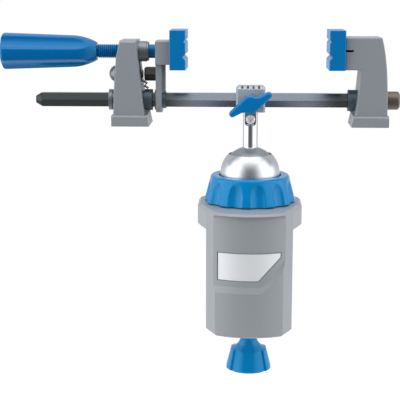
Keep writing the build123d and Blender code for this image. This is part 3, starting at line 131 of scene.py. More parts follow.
def rounded(points, radius, steps=6):
    """A polyline with each inner corner replaced by a curve that starts at that distance from the corner.

    The curve is quadratic: (1 - s)^2 start + 2 s (1 - s) corner + s^2 end.
    """
    path = [np.array(points[0], float)]
    share = np.linspace(0, 1, steps)[:, None]
    for before, corner, after in zip(points[:-2], points[1:-1], points[2:]):
        corner = np.array(corner, float)
        back = np.array(before, float) - corner
        ahead = np.array(after, float) - corner
        back_length = np.linalg.norm(back)
        ahead_length = np.linalg.norm(ahead)
        reach = min(radius, back_length * CORNER_SHARE, ahead_length * CORNER_SHARE)
        start = corner + back / back_length * reach
        end = corner + ahead / ahead_length * reach
        path.extend((1 - share) ** 2 * start + 2 * share * (1 - share) * corner + share**2 * end)
    path.append(np.array(points[-1], float))
    return np.array(path)


def refined(path, longest):
    """The same polyline with points added so that no step is longer than longest."""
    path = np.array(path, float)
    steps = np.linalg.norm(np.diff(path, axis=0), axis=1)
    counts = np.maximum(1, np.ceil(steps / longest)).astype(int)
    at = np.concatenate([np.arange(n) / n + i for i, n in enumerate(counts)] + [[len(counts)]])
    index = np.arange(len(path))
    return np.stack([np.interp(at, index, path[:, 0]), np.interp(at, index, path[:, 1])], axis=-1)


def bowed(start, end, bow, count):
    """Points from start to end, pushed aside by the vector bow in the middle: bow times 4 s (1 - s)."""
    share = np.linspace(0, 1, count)[:, None]
    straight = (1 - share) * np.array(start) + share * np.array(end)
    return straight + 4 * share * (1 - share) * np.array(bow)


print("a corner's curve takes at most", round(CORNER_SHARE, 2), "of a line")

# %% [markdown]
# ## Hollows
# A hollow is what a round cutter leaves that stands beside the piece. Seen from the axis, the surface is
# then the smaller of two radii. A plain minimum would leave a knife edge, so the two are eased together.

# %% Hollows
# The radius given to rays that meet no cutter.
FAR = 1000.0


def soft_min(first, second, soft):
    """The smaller of two radii, eased together over soft millimetres so that the edge is rounded.

    With h the overlap, from 0 to 1, it is second + (first - second) h - soft h (1 - h).
    """
    overlap = np.clip(0.5 + 0.5 * (second - first) / soft, 0, 1)
    return second + (first - second) * overlap - soft * overlap * (1 - overlap)


def groove(angle, count, start, distance, radius):
    """Radius at which a ray from the axis meets round cutters of that radius, set at distance from the axis.

    By the law of cosines it is d cos a - sqrt(r^2 - d^2 sin^2 a), with a the angle to the nearest cutter.
    """
    step = FULL_TURN / count
    near = (angle - start + step / 2) % step - step / 2
    inside = radius**2 - (distance * np.sin(near)) ** 2
    reach = distance * np.cos(near) - np.sqrt(np.maximum(inside, 0))
    return np.where(inside > 0, reach, FAR)


print("rays past a cutter get", FAR, "mm")

# %% [markdown]
# ## Putting a piece in place
# Each new surface takes the place of the solid of the same piece. It starts and ends where the solid
# does, and it rides on the body that the solid belongs to, so it moves when the joints do.

# %% Putting a piece in place
X = 0
Z = 2
pieces = {}


def span(node, axis):
    """Least and greatest place of a solid along an axis, in millimetres to the hundredth."""
    solid = nodes[node].data
    places = np.empty(len(solid.vertices) * 3)
    solid.vertices.foreach_get("co", places)
    along = places.reshape(-1, 3)[:, axis] / MM
    return round(float(along.min()), 2), round(float(along.max()), 2)


def put(piece, node):
    """Shows the piece in place of the solid of that name and lets it move with the solid's group."""
    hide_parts(node)
    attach(piece, nodes[node]["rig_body"])
    pieces[node] = piece
    print(node, len(piece.data.polygons), "faces")


print("the handle reaches from", *span("jaw_handle", X), "mm")

# %% [markdown]
# ## Locking collar
# The collar is a moulded cone with twelve round hollows for the fingers. The cutter of each follows the
# cone and then swings outwards in an arc, so the hollow ends in an arch below the rim. A boolean would
# give the same hollows with sharp edges; the radius as a formula gives the moulding its soft ones.

# %% Collar outline
FINE_STEP = 0.5
collar_foot, collar_top = span("locking_collar", Z)
collar_radius = 40.3
collar_band = 1.2
shoulder_radius = 35.0
shoulder_height = 41.3
rim_radius = 33.8
bore_radius = 34.2
lip_radius = 27.6
lip_foot = 38.3
collar_round = 1.0
# The outline stops this short of its start, and the mesh closes it.
seam = 0.2
outline = refined(rounded([
    (bore_radius, collar_foot), (collar_radius, collar_foot), (collar_radius, collar_foot + collar_band),
    (shoulder_radius, shoulder_height), (rim_radius, collar_top), (lip_radius, collar_top),
    (lip_radius, lip_foot), (bore_radius, lip_foot), (bore_radius, collar_foot + seam),
], collar_round), FINE_STEP)
print("collar outline", len(outline), "points from", collar_foot, "to", collar_top, "mm")

# %% Locking collar
finger_hollows = 12
first_hollow = math.radians(-109.2)
finger_radius = 10.0
finger_distance = 47.5
finger_lean = 0.2255
swing_start = 27.3
swing_radius = 25.71
finger_edge = 0.5
# Only points this far outside the bore belong to the cone, and the bore isn't hollowed.
least_wall = 0.4
cone = outline[:, :1]
level = outline[:, 1:]
swing = np.maximum(level - swing_start, 0)
arched = swing_radius - np.sqrt(swing_radius**2 - swing**2)
cutter = finger_distance - finger_lean * (level - collar_foot) + arched
turn = angles(480)
hollow = groove(turn, finger_hollows, first_hollow, cutter, finger_radius)
radius = np.where(cone > bore_radius + least_wall, soft_min(cone, hollow, finger_edge), cone)
put(holed("collar_surface", around_z(radius, level, turn), MOULDED_CREASE), "locking_collar")

# %% [markdown]
# ## Ball cap
# The cap is a thin pressed shell, so its section is a closed outline: two arcs about the ball's centre, a
# rounded mouth above and a flange below that the collar presses on. Turning a closed outline gives both
# sides of the shell at once, where a solidify modifier would leave the mouth's edge square.

# %% Ball cap
ball_radius = 25.0
ball_centre = span("ball_post", Z)[0] + ball_radius
shell_inside = 25.1
shell_outside = 26.6
mouth_radius = 19.0
mouth_round = 0.7
skirt_top = 40.0
flange_top = 36.2
flange_foot = span("ball_cap", Z)[0]
flange_radius = 33.0
flange_round = 0.4


def arc(radius, angle, centre):
    """Radius and height on a circle about a point of the axis: r cos a, and the centre plus r sin a."""
    return np.stack([radius * np.cos(angle), centre + radius * np.sin(angle)], axis=-1)


inside = arc(shell_inside, np.linspace(0, math.acos(mouth_radius / shell_inside), 40), ball_centre)
outside = arc(shell_outside, np.linspace(math.acos(mouth_radius / shell_outside), 0, 40), ball_centre)
flange = rounded([
    (shell_outside, skirt_top), (shell_outside, flange_top), (flange_radius, flange_top),
    (flange_radius, flange_foot), (shell_inside, flange_foot), (shell_inside, skirt_top),
], flange_round)
mouth = rounded([inside[-2], inside[-1], outside[0], outside[2]], mouth_round)
# Taken backwards, the outline gives faces that look outwards.
shell = np.concatenate([flange, inside[:-2], mouth, outside[3:]])[::-1]
put(holed("cap_surface", around_z(shell[:, :1], shell[:, 1:], angles(256)), TURNED_CREASE), "ball_cap")

# %% [markdown]
# ## Closed ends
# The next pieces have no hole right through them, so a fan of triangles closes either end, round a last
# small ring. The handle also lies along X rather than upright.

# %% Closed ends
def capped(name, rings, crease):
    """A surface from rings of points, shape (along, around, 3), closed at both ends by a fan."""
    rows, around = rings.shape[:2]
    ends = np.stack([rings[0].mean(axis=0), rings[-1].mean(axis=0)])
    points = np.concatenate([rings.reshape(-1, 3), ends])
    turn = np.arange(around)
    beside = (turn + 1) % around
    last = (rows - 1) * around
    first_fan = np.stack([np.full(around, rows * around), beside, turn], axis=-1)
    last_fan = np.stack([np.full(around, rows * around + 1), last + turn, last + beside], axis=-1)
    faces = quads(rows, around, False).tolist() + first_fan.tolist() + last_fan.tolist()
    return mesh_piece(name, points, faces, crease)


def around_x(radius, along, angle, centre):
    """Points round a line along X at height centre, the angle counted from -Y up towards +Z."""
    across = -radius * np.cos(angle)
    up = centre + radius * np.sin(angle)
    return np.stack([np.broadcast_to(along, across.shape), across, up], axis=-1)


def plain_rings(radius, turn):
    """The same radius all round, for each row of a column of radii."""
    return np.broadcast_to(radius, (len(radius), turn.size))


print("closed ends for the handle, the post, the rod and the knob")

# %% [markdown]
# ## Jaw handle
# The handle and its screw are one blue moulding. The grip's four hollows are cut like the collar's, by
# cutters that lean with the grip. Its end towards the screw is a taper that bulges a little, which a
# parabola added to a straight line gives.

# %% Handle grip
handle_axis = 151.1
grip_end, tip_end = span("jaw_handle", X)
grip_end_radius = 16.1
grip_round = 3.2
grip_pole = 0.6
grip_step = 0.9
waist = -157.0
waist_radius = 13.9
taper_end = -135.0
taper_radius = 7.8
taper_bow = (0.378, 1.344)
screw_root = 5.2
root_round = 0.5
root_end = -133.0
# The grip's rings stop here, and the thread's rings go on.
grip_stop = -134.0
butt = rounded([(grip_end, grip_pole), (grip_end, grip_end_radius), (waist, waist_radius)], grip_round, 10)
taper = bowed((waist, waist_radius), (taper_end, taper_radius), taper_bow, 24)[1:-1]
root = rounded([(taper_end, taper_radius), (taper_end, screw_root), (root_end, screw_root)], root_round)
grip = np.concatenate([butt, taper, root])
grip = refined(grip[grip[:, 0] <= grip_stop], grip_step)
print("grip outline", len(grip), "points from", grip_end, "mm")

# %% Grip hollows
palm_hollows = 4
first_palm = math.radians(35)
palm_radius = 14.0
palm_distance = 25.808
palm_middle = -176.9
palm_lean = 0.02549
palm_edge = 0.9
turn = angles(240)
palm_cutter = palm_distance - (grip[:, :1] - palm_middle) * palm_lean
palm = groove(turn, palm_hollows, first_palm, palm_cutter, palm_radius)
grip_radius = soft_min(grip[:, 1:], palm, palm_edge)
print("the grip's cutters reach in to", round(float(palm.min()), 2), "mm from its axis")

# %% [markdown]
# ## Jaw screw
# The thread is a ridge whose height depends only on how far one is along the axis less the lead times the
# turn, which makes it wind. Blender's Screw modifier can wind a profile too, but then the thread is a
# surface apart from the rod. The end has a neck where the pin holds it in the carrier.

# %% Jaw screw
# Shares of one pitch: from the middle of the ridge to its foot, and the width of one flank.
ridge_share = 0.43
flank_share = 0.29


def ridge(share):
    """Height of the thread's ridge, 0 to 1, over one pitch: level on the crest, straight on the flanks."""
    return np.clip((ridge_share - np.abs(share % 1 - 0.5)) / flank_share, 0, 1)


thread_start = -133.8
thread_end = -92.0
thread_row = 0.22
thread_height = 1.05
jaw_lead = 1.75
shank_radius = 6.0
shank_end = -83.0
tip_radius = 4.0
pin_neck_radius = 2.9
pin_neck_start = -80.8
pin_neck_end = -77.6
tip_round = 0.2
tip_pole = 0.5
tip_step = 0.8
screw_x = np.arange(thread_start, thread_end, thread_row)[:, None]
screw_radius = screw_root + thread_height * ridge((screw_x - taper_end) / jaw_lead - turn / FULL_TURN)
tip = refined(rounded([
    (thread_end, shank_radius), (shank_end, shank_radius), (shank_end, tip_radius),
    (pin_neck_start, tip_radius), (pin_neck_start, pin_neck_radius), (pin_neck_end, pin_neck_radius),
    (pin_neck_end, tip_radius), (tip_end, tip_radius), (tip_end, tip_pole),
], tip_round), tip_step)
along = np.concatenate([grip[:, :1], screw_x, tip[:, :1]])
radius = np.concatenate([grip_radius, screw_radius, plain_rings(tip[:, 1:], turn)])
# Counting round the other way gives faces that look outwards.
handle_rings = around_x(radius, along, turn, handle_axis)[:, ::-1]
put(capped("handle_surface", handle_rings, MOULDED_CREASE), "jaw_handle")

# %% [markdown]
# ## Ball and post
# One turned piece. Up to the neck it is a sphere, then a cylinder with a flat milled on the front for the
# screw: a flat at distance d from the axis has the radius d / cos(a). It runs out in a quarter circle, as
# the side of a round cutter leaves it. The saddle's pin turns in the blind hole at the top.

# %% Ball and post outline
# How far short of the pole the sphere's rings start, in radians.
ball_pole = 0.02
neck_radius = 7.4
post_foot = 67.2
post_radius = 6.75
post_top = span("ball_post", Z)[1]
socket_radius = 3.45
socket_foot = 85.5
socket_pole = 0.3
post_round = 0.6
quarter = math.pi / 2
sweep = np.linspace(ball_pole - quarter, quarter - math.asin(neck_radius / ball_radius), 90)
ball = arc(ball_radius, sweep, ball_centre)
stem = refined(rounded([
    ball[-1], (post_radius, post_foot), (post_radius, post_top), (socket_radius, post_top),
    (socket_radius, socket_foot), (socket_pole, socket_foot),
], post_round), FINE_STEP)
turned = np.concatenate([ball[:-1], stem])
print("ball and post outline", len(turned), "points up to", post_top, "mm")

# %% Ball and post
flat_distance = 4.4
flat_foot = 86.5
flat_round = 2.0
flat_edge = 0.15
# The blind hole's wall lies within this radius and isn't milled.
milled_from = 4.0
# Rays that look less than this towards the flat never meet it.
least_facing = 0.05
turn = angles(256)
level = turned[:, 1:]
below = np.clip(flat_foot + flat_round - level, 0, flat_round)
run_out = flat_round - np.sqrt(flat_round**2 - below**2)
facing = np.cos(turn + quarter)
flat = (flat_distance + run_out) / np.maximum(facing, least_facing)
met = (facing > least_facing) & (level > flat_foot) & (turned[:, :1] > milled_from)
radius = soft_min(turned[:, :1], np.where(met, flat, FAR), flat_edge)
put(capped("post_surface", around_z(radius, level, turn), TURNED_CREASE), "ball_post")

# %% [markdown]
# ## Clamp screw
# The long screw of the clamp is the same kind of winding ridge on a plain rod. A neck at its top carries
# the shoe, and a narrower groove in the neck takes the clip.

# %% Clamp screw
rod_foot, rod_top = span("clamp_screw", Z)
rod_radius = 5.0
rod_pole = 0.3
rod_step = 1.0
rod_thread_start = -101.0
rod_thread_end = -29.6
rod_row = 0.2
rod_thread_height = 1.0
rod_lead = 2.0
shoe_neck_foot = -27.6
shoe_neck_radius = 4.0
clip_foot = -24.45
clip_top = -23.45
clip_radius = 3.1
turn = angles(180)
foot = refined([
    (rod_pole, rod_foot), (rod_radius, rod_foot), (rod_radius, rod_thread_start - rod_row),
], rod_step)
wound = np.arange(rod_thread_start, rod_thread_end, rod_row)[:, None]
winding = (wound - rod_thread_start) / rod_lead - turn / FULL_TURN
wound_radius = rod_radius + rod_thread_height * ridge(winding)
neck = refined([
    (rod_radius, rod_thread_end + rod_row), (rod_radius, shoe_neck_foot), (shoe_neck_radius, shoe_neck_foot),
    (shoe_neck_radius, clip_foot), (clip_radius, clip_foot), (clip_radius, clip_top),
    (shoe_neck_radius, clip_top), (shoe_neck_radius, rod_top), (rod_pole, rod_top),
], rod_step)
level = np.concatenate([foot[:, 1:], wound, neck[:, 1:]])
radius = np.concatenate([plain_rings(foot[:, :1], turn), wound_radius, plain_rings(neck[:, :1], turn)])
put(capped("rod_surface", around_z(radius, level, turn), TURNED_CREASE), "clamp_screw")

# %% [markdown]
# ## Clamp knob
# The knob is a moulded bell with four lobes. Narrow notches part the lobes, and a shallow hollow in the
# middle of each fits a fingertip. Both are cut like the collar's hollows, by cutters that lean with the
# bell's side.

# %% Knob outline
knob_foot, knob_top = span("clamp_knob", Z)
knob_radius = 21.3
knob_pole = 0.4
side_top = -122.0
side_radius = 17.4
side_round = 1.6
bell_start = (16.7, -119.0)
bell_bow = (-1.072, -1.184)
throat_radius = 7.9
throat_foot = -111.0
throat_round = 0.5
rod_hole_radius = 5.05
rod_hole_foot = -128.05
flare = bowed(bell_start, (throat_radius, throat_foot), bell_bow, 14)
skirt = rounded([
    (knob_pole, knob_foot), (knob_radius, knob_foot), (side_radius, side_top), flare[0],
], side_round)
throat = rounded([
    flare[-1], (throat_radius, knob_top), (rod_hole_radius, knob_top), (rod_hole_radius, rod_hole_foot),
    (knob_pole, rod_hole_foot),
], throat_round)
bell = refined(np.concatenate([skirt[:-1], flare, throat[1:]]), FINE_STEP)
print("knob outline", len(bell), "points from", knob_foot, "to", knob_top, "mm")

# %% Clamp knob
lobes = 4
lobe_middle = -129.75
lobe_lean = 0.2516
notch_distance = 19.95
notch_radius = 2.6
notch_edge = 0.8
dent_distance = 34.45
dent_radius = 16.0
dent_edge = 0.6
# The throat and the rod's hole lie within this radius or above this height, and stay round.
lobed_from = 8.5
lobed_to = -112.0
turn = angles(320)
plain = bell[:, :1]
level = bell[:, 1:]
drift = (lobe_middle - level) * lobe_lean
half_lobe = FULL_TURN / lobes / 2
notch = groove(turn, lobes, half_lobe, notch_distance + drift, notch_radius)
dent = groove(turn, lobes, 0, dent_distance + drift, dent_radius)
lobed = soft_min(soft_min(plain, dent, dent_edge), notch, notch_edge)
radius = np.where((plain > lobed_from) & (level < lobed_to), np.minimum(lobed, plain), plain)
put(capped("knob_surface", around_z(radius, level, turn), MOULDED_CREASE), "clamp_knob")

# %% [markdown]
# ## Finishes
# One function mixes every finish from the same few steps. A noise, sized in real millimetres, moves the
# colour between two near shades, changes how glossy the surface is and raises it a little. A bevel node
# rounds the look of the sharp edges that the solids still have. The patterns read Object coordinates, so
# they stay with the piece when it moves.

# %% Nodes and colours
# A colour mix has its two colours and its result at these sockets. Those before are for plain numbers.
COLOUR_A = 6
COLOUR_B = 7
COLOUR_OUT = 2


def srgb(code):
    """A hex colour as the linear values that the shader wants."""
    values = [int(code[i:i + 2], 16) / 255 for i in (1, 3, 5)]
    return [v / 12.92 if v <= 0.04045 else ((v + 0.055) / 1.055) ** 2.4 for v in values] + [1.0]


def add(tree, kind, inputs=None, **settings):
    """One shader node with its settings; an input given as a socket is linked, any other is set."""
    made = tree.nodes.new(kind)
    for key, value in settings.items():
        setattr(made, key, value)
    for key, value in (inputs or {}).items():
        if isinstance(value, bpy.types.NodeSocket):
            tree.links.new(value, made.inputs[key])
        else:
            made.inputs[key].default_value = value
    return made


print("mid grey in linear light is", round(srgb("#808080")[0], 3))

# %% One finish
def finish(name, dark, light, grain, stretch=(1, 1, 1), metallic=0.0, rough=(0.4, 0.5), height=0.01,
           edge=0.4, coat=0.0, shine=0.5, sheen="#ffffff"):
    """A finish whose grain is that many millimetres, stretched along each axis, with edges of that radius.

    The height is how far the grain stands out, in millimetres. The shine is the strength of the plain
    reflection on top, and the sheen is its colour.
    """
    material = bpy.data.materials.new(name)
    material.use_nodes = True
    tree = material.node_tree
    tree.nodes.clear()
    place = add(tree, "ShaderNodeTexCoord")
    scale = [1 / (grain * MM * s) for s in stretch]
    spread = add(tree, "ShaderNodeMapping", {"Vector": place.outputs["Object"], "Scale": scale})
    noise = add(tree, "ShaderNodeTexNoise", {"Vector": spread.outputs["Vector"], "Scale": 1.0, "Detail": 4.0,
                                             "Roughness": 0.6})
    amount = noise.outputs["Fac"]
    shade = add(tree, "ShaderNodeMix", {"Factor": amount, COLOUR_A: srgb(dark), COLOUR_B: srgb(light)},
                data_type="RGBA")
    gloss = add(tree, "ShaderNodeMapRange", {"Value": amount, "From Min": 0.3, "From Max": 0.7,
                                             "To Min": rough[0], "To Max": rough[1]})
    corner = add(tree, "ShaderNodeBevel", {"Radius": edge * MM}, samples=4)
    bump = add(tree, "ShaderNodeBump", {"Height": amount, "Distance": height * MM,
                                        "Normal": corner.outputs["Normal"]})
    shader = add(tree, "ShaderNodeBsdfPrincipled", {
        "Base Color": shade.outputs[COLOUR_OUT], "Roughness": gloss.outputs["Result"], "Metallic": metallic,
        "Normal": bump.outputs["Normal"], "Coat Weight": coat, "Coat Roughness": 0.15,
        "Specular IOR Level": shine, "Specular Tint": srgb(sheen),
    })
    add(tree, "ShaderNodeOutputMaterial", {"Surface": shader.outputs["BSDF"]})
    return material


def dress(material, *names):
    """Gives the finish to those pieces, on the new surface where one stands in for the solid."""
    for name in names:
        piece = pieces.get(name, nodes[name])
        piece.data.materials.clear()
        piece.data.materials.append(material)
    print(material.name, "on", ", ".join(names))


# %% [markdown]
# ## Paint
# The castings are powder coated. Baked powder keeps a faint orange peel that spreads each highlight, and
# it flows round the edges and leaves them soft. The jaws have the same paint in a darker colour: painted
# shade.

# %% Paint
# The peel's dimples are about 0.1 mm wide. They are drawn coarser than that, so that they show.
peel = 0.35
painted = {"rough": (0.42, 0.55), "height": 0.02, "edge": 0.8, "coat": 0.15}
# Polyester powder coat: an even grey with no clear reflections, and a slight gloss at a low angle.
powder_coat = finish("grey powder coat", "#868b90", "#969ba0", peel, **painted)
dress(powder_coat, "base_body")
# The same paint in a darker colour, which is painted shade on the jaw pieces and sets them off from the
# base.
shaded_jaw_coat = finish("grey powder coat darkened for shade", "#7c8187", "#8c9197", peel, **painted)
dress(shaded_jaw_coat, "fixed_jaw", "carriage_body", "jaw_carrier")

# %% [markdown]
# ## Plastics
# What the hand touches is moulded in blue. Which plastics they are can't be seen, so each is taken for
# one that such a piece is usually made of. They differ in filler and in the mould's polish, and so in how
# sharp their highlights are. The highlights are a little blue themselves, which the sheen gives.

# %% Plastics
blue_sheen = "#a8e4ff"
# The faint waves in a moulded skin, about a millimetre wide.
skin_wave = 1.2
# The grain of a matt mould is some hundredths of a millimetre, and is drawn coarser so that it shows.
mould_grain = 0.8
seat_grain = 0.5
rubber_grain = 0.4
# Acetal from a polished mould: a deep blue with long clear highlights.
blue_acetal = finish("polished blue acetal", "#005d9b", "#0067a5", skin_wave, rough=(0.14, 0.2),
                     height=0.003, shine=0.4, sheen=blue_sheen)
dress(blue_acetal, "jaw_handle")
# Glass-filled nylon from a polished mould: a lighter blue, glossy, with a slightly uneven skin.
filled_nylon = finish("glass-filled blue nylon", "#0077b4", "#0481be", skin_wave, rough=(0.14, 0.2),
                      height=0.004, shine=0.35, sheen=blue_sheen)
dress(filled_nylon, "locking_collar", "clamp_knob")
# Plain nylon from a matt mould: satin, with broad soft highlights.
blue_nylon = finish("matt blue nylon", "#0068a8", "#0073b3", mould_grain, rough=(0.25, 0.35), height=0.01,
                    sheen=blue_sheen)
dress(blue_nylon, "fixed_jaw_pad", "sliding_jaw_pad", "thumb_lever")
# Black nylon from a matt mould: dull, so that it looks dry.
black_nylon = finish("moulded black nylon", "#17191b", "#212427", seat_grain, rough=(0.45, 0.55),
                     height=0.005)
dress(black_nylon, "ball_seat", "friction_ring")
# Moulded rubber: almost no reflection.
rubber = finish("moulded rubber", "#1c1d1e", "#28292a", rubber_grain, rough=(0.7, 0.85), height=0.02)
dress(rubber, "shoe_pad")

# %% [markdown]
# ## Bare and blackened steel
# Drawn bar has fine lines along its length, and turned pieces have them round the axis, so the noise is
# stretched that way. An image of scratches would do as well, but a stretched noise has no seam and no
# size in pixels.

# %% Bare and blackened steel
# The lines are some hundredths of a millimetre apart, and are drawn coarser so that they show.
line_width = 0.5
along_x = (12, 1, 1)
round_x = (1, 4, 4)
# The grains of pressed iron powder are about 0.1 mm, and are drawn coarser so that they show.
powder_grain = 0.6
# Black oxide on drawn steel: near black, with a dull metal shine.
black_oxide = finish("black oxide steel", "#1d1d1c", "#33312e", line_width, along_x, metallic=0.5,
                     rough=(0.3, 0.4), height=0.004)
dress(black_oxide, "slide_spring", "stop_stud", "shoe_clip")
# Black oxide steel drawn as a grey metal with lines along the bar; the grey is a painted reflection of the
# light above.
reflection_oxide = finish("black oxide steel with painted reflection", "#5f656e", "#757b84", line_width, along_x, metallic=1.0,
                    rough=(0.2, 0.3), height=0.004)
dress(reflection_oxide, "hex_bar")
# Turned steel: a mid grey with a broad soft highlight.
turned_steel = finish("turned steel", "#6a7075", "#868c91", line_width, round_x, metallic=0.8,
                      rough=(0.4, 0.5), height=0.004)
dress(turned_steel, "screw_nut", "guide_bush", "spring_rivet")
# Phosphated steel: brown grey and satin.
phosphate = finish("phosphated steel", "#544c49", "#766c67", line_width, round_x, metallic=0.7,
                   rough=(0.35, 0.5), height=0.006)
dress(phosphate, "bar_end_nut")
# Sintered iron: grainy and dull; its dark colour is painted shade on these bushes.
iron = finish("sintered iron", "#434d56", "#64707a", powder_grain, metallic=0.6, rough=(0.4, 0.55),
              height=0.03)
dress(iron, "grip_bush", "fixed_bush", "carrier_bush")

# %% [markdown]
# ## Plated and cast metal
# The cap and the ball are nickel plated, small steel pieces are zinc plated, and the saddle is a zinc
# casting that was tumbled. The badge is bare aluminium. A plating follows the surface below it, so the
# nickel shows the lathe's rings and the zinc stays cloudy.

# %% Nickel and zinc plate
# The lathe's rings are some hundredths of a millimetre apart, and are drawn coarser so that they show.
ring_width = 0.3
round_z = (1, 1, 0.3)
# The clouds in zinc plate, about half a millimetre wide.
zinc_cloud = 0.6
# Satin nickel: a bright metal whose reflections are broad and soft.
nickel = finish("satin nickel plate", "#b8bcc1", "#c8ccd0", ring_width, round_z, metallic=1.0,
                rough=(0.32, 0.4), height=0.001)
dress(nickel, "ball_cap")
# Nickel on turned steel: the same metal, with clearer reflections where it is polished.
turned_nickel = finish("turned nickel plate", "#b8bcc1", "#c8ccd0", ring_width, round_z, metallic=1.0,
                       rough=(0.16, 0.22), height=0.001)
dress(turned_nickel, "ball_post")
# Bright zinc plate: a metal a little greyer than nickel, and slightly cloudy.
zinc_plate = finish("bright zinc plate", "#b2b6b9", "#c8ccce", zinc_cloud, metallic=1.0, rough=(0.25, 0.4),
                    height=0.004)
dress(zinc_plate, "clamp_nut", "lever_pad", "lever_screw", "retaining_pin", "clamp_shoe", "clamp_screw")
# Zinc plate painted pale, nearly white, with little mirror to it: a painted highlight on the screw head.
highlight_zinc = finish("zinc plate painted pale as a highlight", "#eef0f1", "#fbfcfc", zinc_cloud, metallic=0.2,
                   rough=(0.3, 0.4), height=0.004, edge=0.1)
dress(highlight_zinc, "post_screw")

# %% Cast zinc and aluminium
# The dents of tumbling are about 0.2 mm wide, and are drawn coarser so that they show.
tumbled_grain = 0.8
# The grain of satin aluminium is some hundredths of a millimetre, and is drawn coarser so that it shows.
satin_grain = 0.25
# Tumbled zinc casting: grey with a coarse sparkle.
zinc_casting = finish("tumbled zinc casting", "#56636f", "#d2dae0", tumbled_grain, metallic=0.35,
                      rough=(0.4, 0.6), height=0.2)
dress(zinc_casting, "bar_saddle")
# Satin aluminium: a bare pale plate that shades softly across its curve.
badge_metal = finish("satin aluminium", "#d2d5da", "#e4e6e9", satin_grain, metallic=0.15, rough=(0.35, 0.45),
                     height=0.004, edge=0.2)
dress(badge_metal, "badge_plate")

# %% [markdown]
# ## Polish on the post
# The ball keeps the dull satin of its tumbling, so that it grips, and only the post above it is polished.
# Two materials would meet in a hard line. Instead the height in the piece, mapped over the last
# millimetre below the post, sets both the roughness and the shade.

# %% Polish on the post
polish_from = 66.0
polish_full = 67.0
ball_roughness = 0.45
post_roughness = 0.2
ball_shade = "#989ca1"
tree = turned_nickel.node_tree
shader = tree.nodes["Principled BSDF"]
place = add(tree, "ShaderNodeTexCoord").outputs["Object"]
height = add(tree, "ShaderNodeSeparateXYZ", {0: place}).outputs["Z"]
above = add(tree, "ShaderNodeMapRange", {"Value": height, "From Min": polish_from * MM,
                                         "From Max": polish_full * MM}).outputs["Result"]
polish = add(tree, "ShaderNodeMapRange", {"Value": above, "To Min": ball_roughness,
                                          "To Max": post_roughness})
tree.links.new(polish.outputs["Result"], shader.inputs["Roughness"])
bright = shader.inputs["Base Color"].links[0].from_socket
dulled = add(tree, "ShaderNodeMix", {"Factor": above, COLOUR_A: srgb(ball_shade), COLOUR_B: bright},
             data_type="RGBA")
tree.links.new(dulled.outputs[COLOUR_OUT], shader.inputs["Base Color"])
print("post polished above", polish_full, "mm")

# %% [markdown]
# ## Painted reflection on the bar
# Between the jaws the bar is drawn as grey steel, a painted reflection of the light above, and towards both
# ends it is dark oxide. The distance from the middle of the bar, worked out from X alone, mixes the two.

# %% Painted reflection on the bar
reflection_within = 48.0
dark_beyond = 78.0
dark_shade = "#35393a"
tree = reflection_oxide.node_tree
shader = tree.nodes["Principled BSDF"]
place = add(tree, "ShaderNodeTexCoord").outputs["Object"]
side = add(tree, "ShaderNodeSeparateXYZ", {0: place}).outputs["X"]
along = add(tree, "ShaderNodeMath", {0: side}, operation="ABSOLUTE").outputs[0]
reflection_mask = add(tree, "ShaderNodeMapRange", {"Value": along, "From Min": dark_beyond * MM,
                                          "From Max": reflection_within * MM}, interpolation_type="SMOOTHSTEP")
# The grey steel colour is the painted reflection, and the dark shade is the oxide's own colour at the ends.
reflection_grey = shader.inputs["Base Color"].links[0].from_socket
reflection_mix = add(tree, "ShaderNodeMix", {"Factor": reflection_mask.outputs["Result"], COLOUR_A: srgb(dark_shade),
                                   COLOUR_B: reflection_grey}, data_type="RGBA")
tree.links.new(reflection_mix.outputs[COLOUR_OUT], shader.inputs["Base Color"])
print("bar painted lighter within", reflection_within, "mm of its middle")

# %% [markdown]
# ## Floor
# The floor is plain and pale, and lies well below the vise, which is made to hang from its base. It turns
# to pure white further out, so no horizon shows. Distances here and below are in metres.

# %% Floor
floor_level = -0.22
floor_front = -0.2
floor_reach = 4.0
fade_from = 0.05
fade_to = 0.5
floor_mesh = bpy.data.meshes.new("floor")
floor_mesh.from_pydata([
    (-floor_reach, floor_front, floor_level), (floor_reach, floor_front, floor_level),
    (floor_reach, floor_reach, floor_level), (-floor_reach, floor_reach, floor_level),
], [], [(0, 1, 2, 3)])
floor = bpy.data.objects.new("floor", floor_mesh)
bpy.context.scene.collection.objects.link(floor)
# Matt white paint, which takes a soft shadow, mixed to a plain white glow further out.
pale = bpy.data.materials.new("matt white paint")
pale.use_nodes = True
tree = pale.node_tree
tree.nodes.clear()
place = add(tree, "ShaderNodeTexCoord").outputs["Object"]
level = add(tree, "ShaderNodeVectorMath", {0: place, 1: (1, 1, 0)}, operation="MULTIPLY")
distance = add(tree, "ShaderNodeVectorMath", {0: level.outputs["Vector"]}, operation="LENGTH")
fade = add(tree, "ShaderNodeMapRange", {"Value": distance.outputs["Value"], "From Min": fade_from,
                                        "From Max": fade_to}, interpolation_type="SMOOTHSTEP")
paint = add(tree, "ShaderNodeBsdfDiffuse", {"Color": srgb("#fbfbfb")})
white = add(tree, "ShaderNodeEmission", {"Color": srgb("#ffffff"), "Strength": 1.0})
faded = add(tree, "ShaderNodeMixShader", {0: fade.outputs["Result"], 1: paint.outputs[0],
                                          2: white.outputs[0]})
add(tree, "ShaderNodeOutputMaterial", {"Surface": faded.outputs[0]})
floor_mesh.materials.append(pale)
print("floor", floor_reach * 2, "m wide, white beyond", fade_to, "m")

# %% [markdown]
# ## Soft boxes
# Three large weak lamps give the light a direction: two from the sides, which leave the front of the
# castings a little darker than their flanks, and one from above. Large lamps make soft shadows, as a
# studio's do.

# %% Soft boxes
lit_point = (0, 0, 0.05)
side_size = (1.5, 1.6)
left_place = (-1.25, -0.4, 0.35)
left_power = 11
right_place = (1.25, -0.35, 0.35)
right_power = 8
top_size = (1.4, 1.0)
top_place = (0.0, -0.25, 1.2)
top_power = 6.5


